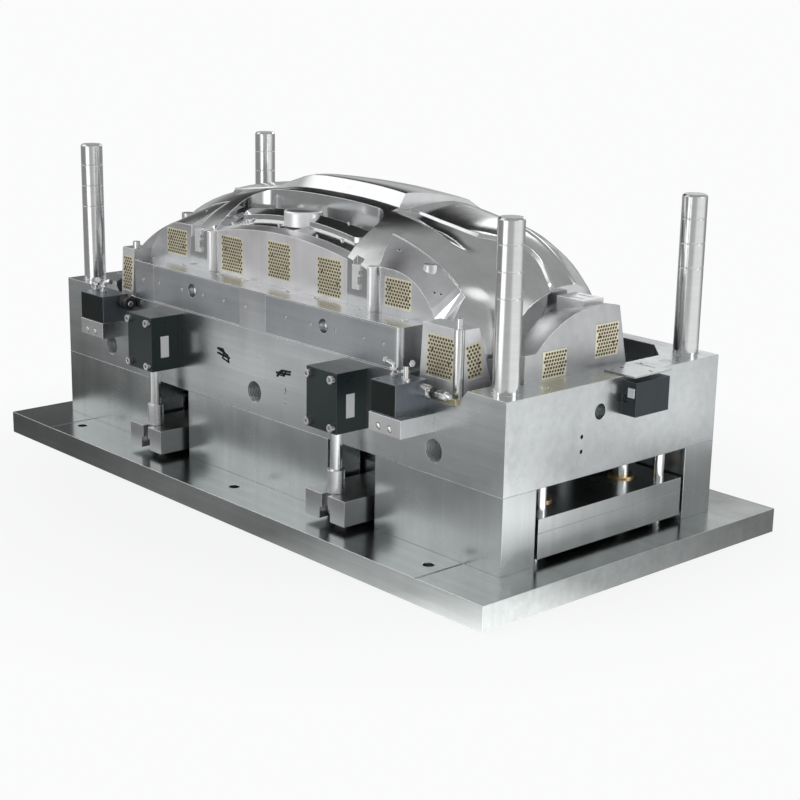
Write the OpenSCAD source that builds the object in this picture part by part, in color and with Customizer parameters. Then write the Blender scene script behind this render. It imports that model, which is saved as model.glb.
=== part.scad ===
// Moving half of a large injection mould with its ejector set.
// X runs along the mould, the operator's front faces -Y and Z is up.
// The origin is the middle of the clamp plate's underside.

/* [Clamp plate] */
// Length of the clamp plate
clamp_l = 2590; // [2500:10:2800]
// Width of the clamp plate
clamp_w = 1345; // [1300:5:1500]
// Thickness of the clamp plate
clamp_t = 80; // [60:5:120]
// Diameter of the clamp bolt holes
clamp_hole_d = 36; // [26:1:45]
// Distance of the outer clamp bolt holes from the middle, along the plate
clamp_hole_x = 960; // [900:10:1000]
// Distance of the clamp bolt holes from the plate's long edges
clamp_hole_edge = 106; // [80:2:120]
// Diameter of the ejector rod hole in the middle
knockout_d = 60; // [40:5:80]
// Width of the cross grooves
groove_w = 8; // [6:1:16]
// Depth of the cross grooves
groove_depth = 3; // [2:0.5:6]
// Distance of the cross grooves from the middle
groove_x = 1018; // [990:2:1050]

/* [Mould stack] */
// Length of the spacer blocks' row and of the core plate
stack_l = 2345; // [2300:5:2400]
// Width over the spacer blocks and of the core plate
stack_w = 960; // [940:5:980]
// Height of the spacer blocks
spacer_h = 240; // [225:5:280]
// Thickness of the spacer blocks
spacer_t = 138; // [130:1:145]
// Distance of the middle of each rod notch from the middle of the mould
notch_x = 501; // [490:1:510]
// Width of the rod notches between the spacer blocks
notch_w = 232; // [220:1:240]
// Height of the core plate
core_h = 285; // [260:5:320]
// Diameter of the plate screws
plate_screw_d = 24; // [20:1:27]
// Depth of the plate screws' thread in the core plate
plate_screw_grip = 40; // [30:1:44]

/* [Core plate] */
// Depth of the core pocket
pocket_depth = 120; // [100:5:140]
// Wall left at each end of the core pocket
pocket_end_wall = 112; // [105:1:120]
// Wall left behind the core pocket
pocket_rear_wall = 55; // [45:1:60]
// Wall left in front of the core pocket
pocket_front_wall = 105; // [100:1:110]
// Length of the cut corners along the mould
pocket_cut_x = 106; // [90:2:120]
// Length of the cut corners across the mould
pocket_cut_y = 105; // [90:5:120]
// Depth of the open ledges in front of the corner blocks
ledge_depth = 57; // [50:1:65]
// Start of the open ledges, from the middle
ledge_x0 = 742; // [735:1:760]
// End of the flat of the open ledges, from the middle
ledge_x1 = 963; // [955:1:975]
// Run of the slope at the end of each ledge
ledge_slope = 51; // [40:1:60]
// Diameter of the lifting holes
lift_hole_d = 72; // [60:1:80]
// Depth of the lifting holes
lift_hole_depth = 90; // [60:5:100]
// Distance of the outer lifting holes from the middle
lift_hole_x = 878; // [860:2:900]
// Height of the lifting holes above the core plate's underside
lift_hole_up = 75; // [60:1:100]
// Diameter of the hole in each end face
end_hole_d = 48; // [36:2:60]
// Depth of the hole in each end face
end_hole_depth = 60; // [40:5:80]

// Diameter of the screw holes in the end faces
end_screw_d = 13; // [11:1:17]
// Depth of the screw holes in the end faces
end_screw_depth = 30; // [24:1:40]
// Height of the lower screw hole above the core plate's underside
end_screw_up = 80; // [70:1:90]
// Distance between the two screw holes of an end face
end_screw_gap = 46; // [40:1:50]
// Distance of the end faces' screw holes from the middle, across the mould
end_screw_y = 155; // [145:1:165]

/* [Guide pillars] */
// Diameter of the guide pillars
pillar_d = 80; // [70:1:90]
// Distance of the guide pillars from the middle, along the mould
pillar_x = 1097; // [1095:1:1102]
// Distance of the guide pillars from the middle, across the mould
pillar_y = 407; // [402:1:412]
// Height that the guide pillars stand above the core plate
pillar_up = 510; // [450:10:560]
// Diameter of the guide pillars' fixed end in the core plate
pillar_fix_d = 90; // [84:1:96]
// Thickness of the pillar's foot flange
pillar_foot_t = 20; // [14:1:24]
// Distance between the oil grooves
oil_groove_gap = 77; // [60:1:90]

/* [Core] */
// Half length at which the core's long curve would close
crown_a = 990; // [980:1:1010]
// Height of the core above the core plate
crown_up = 454; // [430:2:460]
// Roundness of the core's curves, 2 is an ellipse
crown_p = 2.35; // [2.3:0.05:2.4]
// Reach of the core's front curve
crown_front = 551; // [546:1:553]
// Reach of the core's rear curve
crown_back = 310; // [290:2:320]
// Distance of the core's crest behind the middle
crown_crest_y = 60; // [55:1:65]
// Half length at which the core is cut off for the end blocks
crown_half_l = 905; // [900:1:908]
// Height of the raised rail's front edge above the core's curve
rail_up = 38; // [30:1:42]
// Distance of the rail's front foot in front of the middle
rail_front = 140; // [134:1:148]
// Run of the rail's sloping front face
rail_run = 28; // [20:1:34]
// Right end of the rail, where it stops at a step
rail_end = 330; // [312:2:345]
// Length over which the rail fades out to the left
rail_fade = 320; // [280:10:360]
// Distance of the flanks' crease in front of the middle
crease_front = 92; // [86:1:98]
// Height of the flanks' crease
crease_up = 8; // [5:1:12]
// Distance of the flanks' front ridge in front of the middle
flank_ridge = 172; // [168:1:178]
// Depth of the hollow between the front ridge and the crease
valley_depth = 16; // [8:1:20]
// Dip of the flanks beside the rail
flank_dip = 16; // [8:1:20]
// Rise of the flanks over the wheel arches
flank_lift = 8; // [4:1:14]
// Distance of the rear lip behind the middle
lip_back = 100; // [96:1:106]
// Height of the lips on the wheel arches
lip_up = 5; // [3:1:8]
// Tilt of the recessed front slope
slope_tilt = 20; // [18:0.5:22]
// Radius of the front slope's arch
slope_r = 1850; // [1750:10:1950]
// Height of the front slope's front edge above the core plate
slope_up = 313; // [306:1:318]
// Distance of the front recess's rear edge in front of the middle
recess_rear = 178; // [176:1:182]
// Radius of the front recess's rear corners
recess_r = 85; // [70:1:95]
// Height of the raised pad in the recess
pad_up = 18; // [12:1:20]
// Half length of the raised pad
pad_half_l = 328; // [316:1:334]
// Distance of the pad's front edge in front of the middle
pad_front = 300; // [292:1:306]
// Distance of the pad's rear edge in front of the middle
pad_rear = 208; // [204:1:214]
// Diameter of the round boss on the slope
boss_d = 130; // [110:2:132]
// Distance of the round boss in front of the middle
boss_front = 272; // [271:1:280]
// Height of the round boss above its seat
boss_h = 50; // [46:1:60]

/* [Front blocks] */
// Half length of the arched front block
front_block_half_l = 350; // [346:1:352]
// Thickness of the arched front block
front_block_t = 34; // [30:1:34]
// Diameter of the polished posts
post_d = 36; // [30:1:38]
// Place of the left post along the mould
post_left_x = -373; // [-374:1:-372]
// Place of the right post along the mould
post_right_x = 478; // [476:1:479]
// Height of the posts
post_h = 141; // [130:1:150]
// Width of the notched lock inserts
lock_w = 36; // [30:1:38]
// Height of the notched lock inserts
lock_h = 78; // [70:1:84]
// Place of the left lock insert along the mould
lock_left_x = -456; // [-460:1:-452]
// Place of the right lock insert along the mould
lock_right_x = 398; // [394:1:402]
// Half length of the parting bar
bar_half_l = 722; // [715:1:728]
// Height of the parting bar
bar_h = 135; // [125:1:140]
// Radius of the parting bar's outer corners
bar_corner_r = 20; // [10:1:30]
// Thickness of the dark bar inserts
bar_insert_t = 25; // [15:1:30]
// Height of the dark bar inserts
bar_insert_h = 125; // [110:1:130]
// Diameter of the bar's large bores
bar_bore_d = 46; // [36:1:50]
// Diameter of the bar's small holes
bar_hole_d = 12; // [8:1:14]

/* [Corner and end blocks] */
// Height of the corner blocks
corner_h = 217; // [205:1:225]
// Depth of the corner blocks at the foot
corner_foot = 150; // [144:1:154]
// Depth of the corner blocks at the top
corner_top = 72; // [64:1:76]
// Near end of the right corner block
corner_right_x0 = 775; // [772:1:780]
// Far end of the right corner block
corner_right_x1 = 942; // [936:1:946]
// Far end of the left corner block
corner_left_x1 = 850; // [846:1:860]
// Radius of the corner posts
corner_post_r = 16; // [12:1:18]
// Radius of the end blocks' arc
end_arc_r = 367; // [362:1:372]
// Distance of the end arc's centre behind the middle
end_arc_y = 20; // [16:1:24]
// Height of the end arc's top above the core plate
end_arc_up = 200; // [195:1:205]
// Front edge of the end blocks' lug, in front of the middle
end_lug_front = 293; // [288:1:296]
// Height of the end blocks' lug above the core plate
end_lug_up = 86; // [76:1:92]
// Rear edge of the end blocks at the core plate's face, behind the middle
end_rear = 160; // [150:1:165]
// Lean of the end blocks' rear faces, from the plate's top to the arc
end_lean = 42; // [36:1:48]
// Fall of the end blocks' tops towards the core
end_fall = 19; // [14:1:24]
// Radius of the end blocks' arc at the core
end_inner_r = 316; // [310:1:322]
// Distance of that arc's centre behind the middle
end_inner_y = 80; // [76:1:84]
// Fall of the end blocks' front lugs towards the core
end_lug_fall = 40; // [34:1:46]

/* [Wear plates] */
// Thickness of the wear plates
wear_t = 10; // [8:1:12]
// Length of the large wear plates
wear_w = 122; // [112:1:124]
// Height of the large wear plates
wear_h = 126; // [116:1:128]
// Height of the side blocks' wear plates
side_wear_h = 92; // [84:1:96]
// Distance between the front block's wear plates
wear_gap = 262; // [250:1:264]
// Diameter of the wear plate screws
wear_screw_d = 10; // [8:1:12]

/* [Side lifters] */
// Angle of the side lifters' travel from upright
lifter_angle = 6; // [4:0.5:8]
// Inner edge of the side lifters at their front top
lifter_x0 = 501; // [500:1:505]
// Outer edge of the side lifters
lifter_x1 = 770; // [762:1:772]
// Depth of the side lifters
lifter_t = 113; // [110:1:120]
// Height of the side lifters' front top above the core plate
lifter_up = 277; // [270:1:284]
// Radius of the side lifters' outer shoulder
lifter_shoulder_r = 220; // [212:1:228]
// Distance of the shoulder's centre inside the side lifters' outer edge
lifter_shoulder_in = 209; // [200:1:211]
// Run of the side lifters' inner edge towards the middle, from the front to the rear
lifter_slant = 58; // [50:1:62]
// Diameter of the round pad on each side lifter
lifter_pad_d = 44; // [36:1:46]
// Diameter of the lifter rods
lifter_rod_d = 40; // [32:1:44]
// Distance of the lifter rods in front of the middle
lifter_rod_y = 296; // [294:1:298]
// Place of the lifter rods at the core plate's face, along the mould
lifter_rod_x = 640; // [630:1:655]
// Outer diameter of the lifter bushes
lifter_bush_d = 64; // [58:1:70]
// Diameter of the lifter's foot pin
foot_pin_d = 20; // [16:1:22]

/* [Ejector set] */
// Stroke of the ejector plates
eject_stroke = 85; // [60:1:88]
// Height of the stop buttons
stop_h = 20; // [15:1:24]
// Thickness of the ejector base plate
base_t = 80; // [70:1:85]
// Thickness of the ejector retainer plate
retainer_t = 45; // [40:1:48]
// Gap between the ejector plates and the spacer blocks
ejector_side_gap = 14; // [10:1:20]
// Diameter of the return pins
return_pin_d = 35; // [30:1:40]
// Distance of the return pins from the middle, along the mould
return_x = 1125; // [1120:1:1130]
// Distance of the return pins from the middle, across the mould
return_y = 272; // [262:1:280]
// Diameter of the ejector pins
eject_pin_d = 16; // [12:1:20]
// Diameter of the ejector guide pins
guide_pin_d = 50; // [40:1:60]
// Distance of the ejector guide pins from the middle, along the mould
guide_x = 1040; // [1020:1:1050]
// Distance of the ejector guide pins from the middle, across the mould
guide_y = 190; // [150:1:210]
// Outer diameter of the ejector guide bushes
guide_bush_d = 74; // [66:1:80]
// Diameter of the support pillars
support_d = 90; // [80:1:100]

/* [Hydraulic cylinders] */
// Width of the cylinder blocks
cyl_w = 145; // [140:1:150]
// Depth of the cylinder blocks
cyl_d = 122; // [118:1:130]
// Height of the cylinder blocks
cyl_h = 192; // [185:1:200]
// Height of the cylinder blocks' underside above the core plate's underside
cyl_up = 76; // [72:1:84]
// Diameter of the piston bore
piston_d = 76; // [70:1:78]
// Diameter of the piston rods
rod_d = 38; // [32:1:40]
// Diameter of the rod couplings
coupling_d = 56; // [50:1:60]
// Height of the rod couplings
coupling_h = 75; // [60:1:80]
// Width of the slotted lift blocks
lift_block_w = 190; // [180:1:200]
// Height of the slotted lift blocks
lift_block_h = 83; // [78:1:88]
// Reach of the slotted lift blocks in front of the core plate
lift_block_out = 106; // [100:1:112]
// Diameter of the cylinder screws
cyl_screw_d = 16; // [12:1:16]

/* [Boxes] */
// Height of the switch boxes
box_h = 98; // [90:1:105]
// Depth of the left switch box
box_left_d = 106; // [100:1:115]
// Depth of the right switch box
box_right_d = 126; // [120:1:130]
// Height of the switch boxes' brackets
bracket_h = 57; // [50:1:62]
// Diameter of the round connectors
connector_d = 38; // [30:1:40]
// Depth of the end junction box
junction_d = 55; // [45:1:60]
// Width of the end junction box
junction_w = 154; // [140:2:160]
// Height of the end junction box
junction_h = 106; // [95:1:112]

/* [Hidden] */
$fn = 48;

// Small shared clearances and allowances
run_gap = 0.05;
slide_gap = 0.3;
eps = 1;
steel = [0.62, 0.64, 0.66];
dark_steel = [0.36, 0.38, 0.4];
bright_steel = [0.82, 0.83, 0.85];
bronze = [0.76, 0.62, 0.4];
housing_dark = [0.1, 0.14, 0.14];

// Levels of the stack
z_spacer = clamp_t;
z_core = z_spacer + spacer_h;
z_top = z_core + core_h;
z_pocket = z_top - pocket_depth;
z_base = z_spacer + stop_h;
z_retainer = z_base + base_t;
z_ejector_top = z_retainer + retainer_t;
half_l = stack_l / 2;
half_w = stack_w / 2;
pocket_x = half_l - pocket_end_wall;
pocket_front = -half_w + pocket_front_wall;
pocket_rear = half_w - pocket_rear_wall;
notch_in = notch_x - notch_w / 2;
notch_out = notch_x + notch_w / 2;
ejector_half_w = half_w - spacer_t - ejector_side_gap;
z_ledge = z_top - ledge_depth;
z_bar_top = z_top + bar_h;
hole_cap = 26;

// Places that several pieces share
plate_screw_xs = [250, 690, 960];
plate_screw_y = half_w - spacer_t / 2;
guide_places = [for (sx = [-1, 1], sy = [-1, 1]) [sx * guide_x, sy * guide_y]];
return_places = [for (sx = [-1, 1], sy = [-1, 1]) [sx * return_x, sy * return_y]];
support_xs = [-800, -260, 260, 800];
support_places = [for (x = support_xs, sy = [-1, 1]) [x, sy * 170]];
eject_places = [for (sx = [-1, 1], x = [130, 400, 650]) [sx * x, crown_crest_y]];
eject_rear_places = [for (sx = [-1, 1]) [sx * 345, crown_crest_y + 170]];
all_eject_places = concat(eject_places, eject_rear_places);
stop_xs = [330, 720, 1110];
stop_places = [for (sx = [-1, 1], x = stop_xs, sy = [-1, 1]) [sx * x, sy * (ejector_half_w - 45)]];
cylinder_y = half_w + cyl_d / 2;
cylinder_z = z_core + cyl_up;
wear_front_z = z_top + 206;
lifter_plate_x = 592;
lifter_pad_x = 645;
lifter_pad_y = 290;

// Places of the parting bar's holes along the mould
bar_hole_xs = [-654, -559, -417, -292, -170, -47, 168, 296, 420, 554, 647];
bar_bore_xs = [-355, 359];
bar_screw_xs = [-523, -302, -160, 70, 219, 437, 651];
bar_hole_z = z_top + 74;
bar_insert_left_x = [-588, -78];
bar_insert_right_x = [62, 700];

// Height of the core's curved top over a point, and the long curve's share at one station
function share(x) = pow(max(0, 1 - pow(abs(x) / crown_a, crown_p)), 1 / crown_p);
function reach(y) = y < crown_crest_y ? crown_front : crown_back;
function dome_z(x, y) =
    z_top + crown_up * pow(max(0, 1 - pow(abs(x) / crown_a, crown_p)
        - pow(abs(y - crown_crest_y) / reach(y), crown_p)), 1 / crown_p);
function ease(t) = let (u = max(0, min(1, t))) u * u * (3 - 2 * u);
function blend(a, b, t) = a + (b - a) * t;

// Share of the rail at a station: none right of its end, all along the middle, fading to the left
function rail_share(x) = x > rail_end ? 0 : ease((x + rail_end + 90) / rail_fade);
function arch_share(x) = ease((abs(x) - 600) / 60);

// Lines that run along the core, from the front to the rear
function ridge_y(x) = -flank_ridge - 24 * ease((abs(x) - 560) / 240);
function flank_crease_y(x) =
    -crease_front + 100 * ease((abs(x) - 620) / 150) - 30 * ease((abs(x) - 800) / 105);
function crease_y(x) = blend(flank_crease_y(x), -rail_front, rail_share(x));
function lip_y(x) = lip_back - 16 * ease((abs(x) - 700) / 200);

// Heights of those lines above the core's plain curve
crease_run = 6;
function face_run(x) = blend(crease_run, rail_run, rail_share(x));
function flank_d(x) = flank_lift - (flank_lift + flank_dip) * (1 - ease((abs(x) - 430) / 300));
function crest_d(x) = blend(flank_d(x), rail_up, rail_share(x));
function crease_d(x) = crest_d(x) - blend(crease_up, rail_up, rail_share(x));
function lip_d(x) = blend(flank_d(x), 2, rail_share(x));
function valley(x) = valley_depth * ease((abs(x) - 340) / 120) * (1 - ease((abs(x) - 780) / 125));

// Height of the finished core over a point between the crease and the rear foot
function crown_z(x, y) =
    let (y0 = crease_y(x) + face_run(x), y1 = lip_y(x), y2 = crown_crest_y + crown_back * share(x))
    dome_z(x, y) + (y < y1 ? blend(crest_d(x), lip_d(x), (y - y0) / (y1 - y0))
                           : blend(lip_d(x), 0, (y - y1) / (y2 - y1)));

// Angle of a section point whose distance from the crest line is given
function side_angle(offset, full) = acos(pow(min(1, offset / full), crown_p / 2));
function section_point(x, t, full, side, rise) =
    [x, crown_crest_y + side * full * pow(cos(t), 2 / crown_p),
     z_top + crown_up * share(x) * pow(sin(t), 2 / crown_p) + rise];

front_steps = 11;
valley_steps = 5;
top_steps = 6;
back_steps = 7;
lip_half = 9;

function on_dome(x, y, d) = [x, y, dome_z(x, y) + d];

// One section of the core: front foot, front curve, hollow, crease or rail face, top, rear lip, rear curve
function crown_ring(x) =
    let (f = crown_front * share(x), b = crown_back * share(x), l = lip_y(x), bead = lip_up * arch_share(x),
         yc = crease_y(x), y0 = yc + face_run(x), y1 = y0 + lip_half, y2 = l - lip_half, y3 = l + lip_half,
         tr = side_angle(crown_crest_y - ridge_y(x), f), tb = side_angle(y3 - crown_crest_y, b),
         front = [for (i = [0:front_steps]) section_point(x, tr * i / front_steps, f, -1, 0)],
         hollow = [for (i = [1:valley_steps]) let (t = i / valley_steps)
             on_dome(x, blend(ridge_y(x), yc, t), t * crease_d(x) - valley(x) * sin(180 * t))],
         top = [for (i = [0:top_steps]) let (t = i / top_steps)
             on_dome(x, blend(y1, y2, t), blend(crest_d(x), lip_d(x), t))],
         back = [for (i = [0:back_steps]) let (t = i / back_steps)
             section_point(x, tb * (1 - t), b, 1, lip_d(x) * (1 - t))])
    concat([[x, crown_crest_y - f, z_pocket]], front, hollow, [on_dome(x, y0, crest_d(x) + bead)], top,
           [on_dome(x, l - lip_half / 3, lip_d(x) + bead), on_dome(x, l + lip_half / 3, lip_d(x) + bead)],
           back, [[x, crown_crest_y + b, z_pocket]]);

// Stations closer together towards the ends, with a pair at the step that ends the rail
crown_steps = 20;
even_stations = [for (i = [-crown_steps:crown_steps]) crown_half_l * sin(90 * i / crown_steps)];
crown_stations = concat(
    [for (x = even_stations) if (x < rail_end - 4) x], [rail_end - 0.1, rail_end + 0.1],
    [for (x = even_stations) if (x > rail_end + 4) x]);

// Solid lofted through a list of closed rings with the same number of points
module loft(rings) {
    n = len(rings[0]);
    m = len(rings);
    sides = [for (i = [0:m - 2], j = [0:n - 1], k = [0, 1])
        let (a = i * n + j, b = i * n + (j + 1) % n, c = b + n, d = a + n)
        k == 0 ? [a, b, c] : [a, c, d]];
    first = [for (j = [0:n - 1]) n - 1 - j];
    last = [for (j = [0:n - 1]) (m - 1) * n + j];
    polyhedron([for (r = rings, p = r) p], concat(sides, [first, last]), convexity = 8);
}

module at(places) {
    for (p = places) translate([p[0], p[1], 0]) children();
}

module span_box(x0, x1, y0, y1, z0, z1) {
    translate([x0, y0, z0]) cube([x1 - x0, y1 - y0, z1 - z0]);
}

module front_hole(x, z, d, depth) {
    translate([x, -half_w - eps, z]) rotate([-90, 0, 0]) cylinder(d = d, h = depth + eps);
}

// Axis of a side lifter's travel through a point of the core plate's face
module along_lifter(side) {
    translate([side * lifter_rod_x, -lifter_rod_y, z_top]) rotate([0, -side * lifter_angle, 0]) children();
}

// Clamp plate
module clamp_plate() color(steel) difference() {
    span_box(-clamp_l / 2, clamp_l / 2, -clamp_w / 2, clamp_w / 2, 0, clamp_t);
    for (sx = [-1, 0, 1], sy = [-1, 1])
        translate([sx * clamp_hole_x, sy * (clamp_w / 2 - clamp_hole_edge), -eps])
            cylinder(d = clamp_hole_d, h = clamp_t + 2 * eps);
    translate([0, 0, -eps]) cylinder(d = knockout_d, h = clamp_t + 2 * eps);
    for (sx = [-1, 1], sy = [-1, 1]) {
        groove_y = sy > 0 ? half_w : -clamp_w / 2 - eps;
        translate([sx * groove_x - groove_w / 2, groove_y, clamp_t - groove_depth])
            cube([groove_w, clamp_w / 2 - half_w + eps, groove_depth + eps]);
    }
    plate_screw_holes(-eps, clamp_t + eps);
    at(plate_screw_points()) translate([0, 0, -eps])
        cylinder(d = plate_screw_d * 1.7, h = plate_screw_d + 2 + eps);
}

function plate_screw_points() =
    [for (sx = [-1, 1], x = plate_screw_xs, sy = [-1, 1]) [sx * x, sy * plate_screw_y]];

module plate_screw_holes(z0, z1) {
    at(plate_screw_points()) translate([0, 0, z0]) cylinder(d = plate_screw_d + 2, h = z1 - z0);
}

// Spacer blocks, in three lengths along each side
module spacer(x0, x1, side) color(steel) difference() {
    span_box(x0, x1, side > 0 ? half_w - spacer_t : -half_w, side > 0 ? half_w : -half_w + spacer_t,
             z_spacer, z_core);
    plate_screw_holes(z_spacer - eps, z_core + eps);
}

module plate_screws() color(dark_steel) at(plate_screw_points()) {
    translate([0, 0, 2]) difference() {
        cylinder(d = plate_screw_d * 1.5, h = plate_screw_d);
        translate([0, 0, -eps]) cylinder(d = plate_screw_d * 0.8, h = plate_screw_d / 2 + eps, $fn = 6);
    }
    translate([0, 0, 2 + plate_screw_d])
        cylinder(d = plate_screw_d, h = z_core + plate_screw_grip - 2 - plate_screw_d);
}

// Core plate
module pocket_outline() {
    polygon([
        [-pocket_x, pocket_rear - pocket_cut_y], [-pocket_x + pocket_cut_x, pocket_rear],
        [pocket_x - pocket_cut_x, pocket_rear], [pocket_x, pocket_rear - pocket_cut_y],
        [pocket_x, pocket_front + 75], [pocket_x - 60, pocket_front],
        [-pocket_x + 60, pocket_front], [-pocket_x, pocket_front + 75]
    ]);
}

module ledge(side) {
    translate([0, pocket_front + eps, 0]) rotate([90, 0, 0]) linear_extrude(pocket_front_wall + 2 * eps)
        polygon([
            [side * ledge_x0, z_ledge], [side * ledge_x1, z_ledge],
            [side * (ledge_x1 + ledge_slope), z_top], [side * (ledge_x1 + ledge_slope), z_top + eps],
            [side * ledge_x0, z_top + eps]
        ]);
}

module core_plate() color(steel) difference() {
    span_box(-half_l, half_l, -half_w, half_w, z_core, z_top);
    translate([0, 0, z_pocket]) linear_extrude(pocket_depth + eps) pocket_outline();
    for (s = [-1, 1]) ledge(s);
    at(plate_screw_points()) translate([0, 0, z_core - eps])
        cylinder(d = plate_screw_d, h = plate_screw_grip + eps);
    for (sx = [-1, 1], sy = [-1, 1]) translate([sx * pillar_x, sy * pillar_y, 0]) {
        translate([0, 0, z_core - eps]) cylinder(d = pillar_fix_d, h = core_h + 2 * eps);
        translate([0, 0, z_core - eps]) cylinder(d = pillar_fix_d + 18, h = pillar_foot_t + eps);
    }
    at(return_places) translate([0, 0, z_core - eps])
        cylinder(d = return_pin_d + 2 * run_gap, h = core_h + 2 * eps);
    at(guide_places) translate([0, 0, z_core - eps]) cylinder(d = guide_pin_d, h = 60 + eps);
    at(all_eject_places) translate([0, 0, z_core - eps])
        cylinder(d = eject_pin_d + 2 * run_gap, h = core_h);
    for (s = [-1, 1]) along_lifter(s)
        translate([0, 0, -core_h - 60]) cylinder(d = lifter_bush_d, h = core_h + 60);
    for (x = [-lift_hole_x, 0, lift_hole_x], sy = [-1, 1]) mirror([0, sy > 0 ? 1 : 0, 0])
        front_hole(x, z_core + lift_hole_up, lift_hole_d, lift_hole_depth);
    for (sx = [-1, 1]) mirror([sx > 0 ? 0 : 1, 0, 0]) {
        translate([half_l - end_hole_depth, -78, z_top - 94]) rotate([0, 90, 0])
            cylinder(d = end_hole_d, h = end_hole_depth + eps);
        for (up = [end_screw_up, end_screw_up + end_screw_gap])
            translate([half_l - end_screw_depth, -sx * end_screw_y, z_core + up])
                rotate([0, 90, 0]) cylinder(d = end_screw_d, h = end_screw_depth + eps);
    }
    for (z = [70, 112, 122]) front_hole(168, z_core + z, 7, 20);
    cylinder_screw_shanks(half_w - 32, cyl_screw_d);
}

// Arched core
slope_l = 1200;

module slope_cutter(up) {
    translate([0, pocket_front, z_top + up - slope_r / cos(slope_tilt)]) rotate([slope_tilt - 90, 0, 0])
        translate([0, 0, -slope_l / 3]) cylinder(r = slope_r, h = slope_l, $fn = 180);
}

module above_slope(half_len, y_rear, up, round_r) {
    difference() {
        translate([0, 0, z_top]) linear_extrude(crown_up + 200) hull_free_slot(half_len, y_rear, round_r);
        slope_cutter(up);
    }
}

// Raised pad round the boss, with rounded ends and its top parallel to the slope
module raised_pad() {
    r = (pad_front - pad_rear) / 2;
    intersection() {
        translate([0, 0, z_top]) linear_extrude(crown_up) union() {
            translate([-pad_half_l + r, -pad_front]) square([2 * (pad_half_l - r), 2 * r]);
            for (s = [-1, 1]) translate([s * (pad_half_l - r), -pad_front + r]) circle(r = r);
        }
        slope_cutter(slope_up + pad_up);
    }
}

// Plan of a recess: straight sides to the front, rounded rear corners
module hull_free_slot(half_len, y_rear, r) {
    translate([-half_len, pocket_front - 10]) square([2 * half_len, y_rear - r - pocket_front + 10]);
    translate([-half_len + r, pocket_front - 10]) square([2 * (half_len - r), y_rear - pocket_front + 10]);
    for (s = [-1, 1]) translate([s * (half_len - r), y_rear - r]) circle(r = r);
}

// Inner edge of a lifter at a height above the core plate and a distance behind its front
function lifter_edge(h, back) =
    lifter_x0 + (lifter_up - h) * tan(lifter_angle) - lifter_slant * back / lifter_t;

module lifter_pocket(side, gap) {
    h1 = crown_up + 100;
    mirror([side > 0 ? 0 : 1, 0, 0]) loft([for (back = [-100, lifter_t + gap])
        [for (p = [[lifter_x1 + gap, -pocket_depth],
                   [lifter_x1 + gap, h1],
                   [lifter_edge(h1, back) - gap, h1],
                   [lifter_edge(-pocket_depth, back) - gap, -pocket_depth]])
            [p[0], pocket_front + back, z_top + p[1]]]]);
}

module post_shape(x, extra) {
    translate([x, pocket_front - 4, z_bar_top]) cylinder(d = post_d + extra, h = 400);
}

module core_crown() color(steel) difference() {
    intersection() {
        loft([for (x = crown_stations) crown_ring(x)]);
        span_box(-crown_a, crown_a, pocket_front, pocket_rear, z_pocket - eps, z_top + crown_up + 100);
    }
    span_box(-front_block_half_l, front_block_half_l, pocket_front - eps, pocket_front + front_block_t,
             z_pocket - eps, z_top + crown_up);
    difference() {
        above_slope(front_block_half_l, -recess_rear, slope_up, recess_r);
        raised_pad();
    }
    translate([0, -boss_front, z_top + slope_up + 20]) cylinder(d = boss_d, h = 200);
    for (s = [-1, 1]) lifter_pocket(s, slide_gap);
    for (s = [0, 1]) mirror([s, 0, 0]) translate([corner_right_x0 - slide_gap, slide_gap, 0])
        rotate([90, 0, 90]) linear_extrude(crown_half_l - corner_right_x0 + 50) corner_profile();
    for (x = [post_left_x, post_right_x]) post_shape(x, 0);
    for (x = [lock_left_x, lock_right_x])
        span_box(x - lock_w / 2, x + lock_w / 2, pocket_front - eps, pocket_front + 16,
                 z_top + 190, z_top + 400);
    at(all_eject_places) translate([0, 0, z_pocket - eps])
        cylinder(d = eject_pin_d + 2 * run_gap, h = crown_up + pocket_depth + 100);
}

module crown_boss() color(dark_steel) translate([0, -boss_front, z_top + slope_up + 20]) {
    cylinder(d = boss_d, h = boss_h - 4);
    translate([0, 0, boss_h - 4]) cylinder(d1 = boss_d, d2 = boss_d - 8, h = 4);
}

// Arched front block with its three wear plates
module front_block() color(steel) difference() {
    intersection() {
        span_box(-front_block_half_l, front_block_half_l, pocket_front, pocket_front + front_block_t,
                 z_pocket, z_top + crown_up);
        slope_cutter(slope_up);
    }
    for (i = [-1:1]) wear_seat(i * wear_gap, wear_front_z + (i == 0 ? 16 : 0), wear_h);
}

module wear_seat(x, z, h) {
    span_box(x - wear_w / 2, x + wear_w / 2, pocket_front - eps, pocket_front + wear_t, z - h / 2, z + h / 2);
}

// A wear plate lies in its seat with its face towards -Z of its own frame turned outwards
module wear_plate(w, h) {
    difference() {
        translate([-w / 2, -h / 2, 0]) cube([w, h, wear_t]);
        for (s = [-1, 1]) translate([s * w / 3.2, -s * h / 8, -eps])
            cylinder(d = wear_screw_d, h = wear_t + 2 * eps);
    }
}

module front_wear_plate(x, z, h) {
    translate([x, pocket_front + wear_t, z]) rotate([90, 0, 0]) wear_plate(wear_w, h);
}

module wear_plates_front() color(bronze)
    for (i = [-1:1]) front_wear_plate(i * wear_gap, wear_front_z + (i == 0 ? 16 : 0), wear_h);

module front_posts() color(bright_steel) for (x = [post_left_x, post_right_x])
    translate([x, pocket_front - 4, z_bar_top]) {
        cylinder(d = post_d, h = post_h - 3);
        translate([0, 0, post_h - 3]) cylinder(d1 = post_d, d2 = post_d - 6, h = 3);
    }

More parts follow.
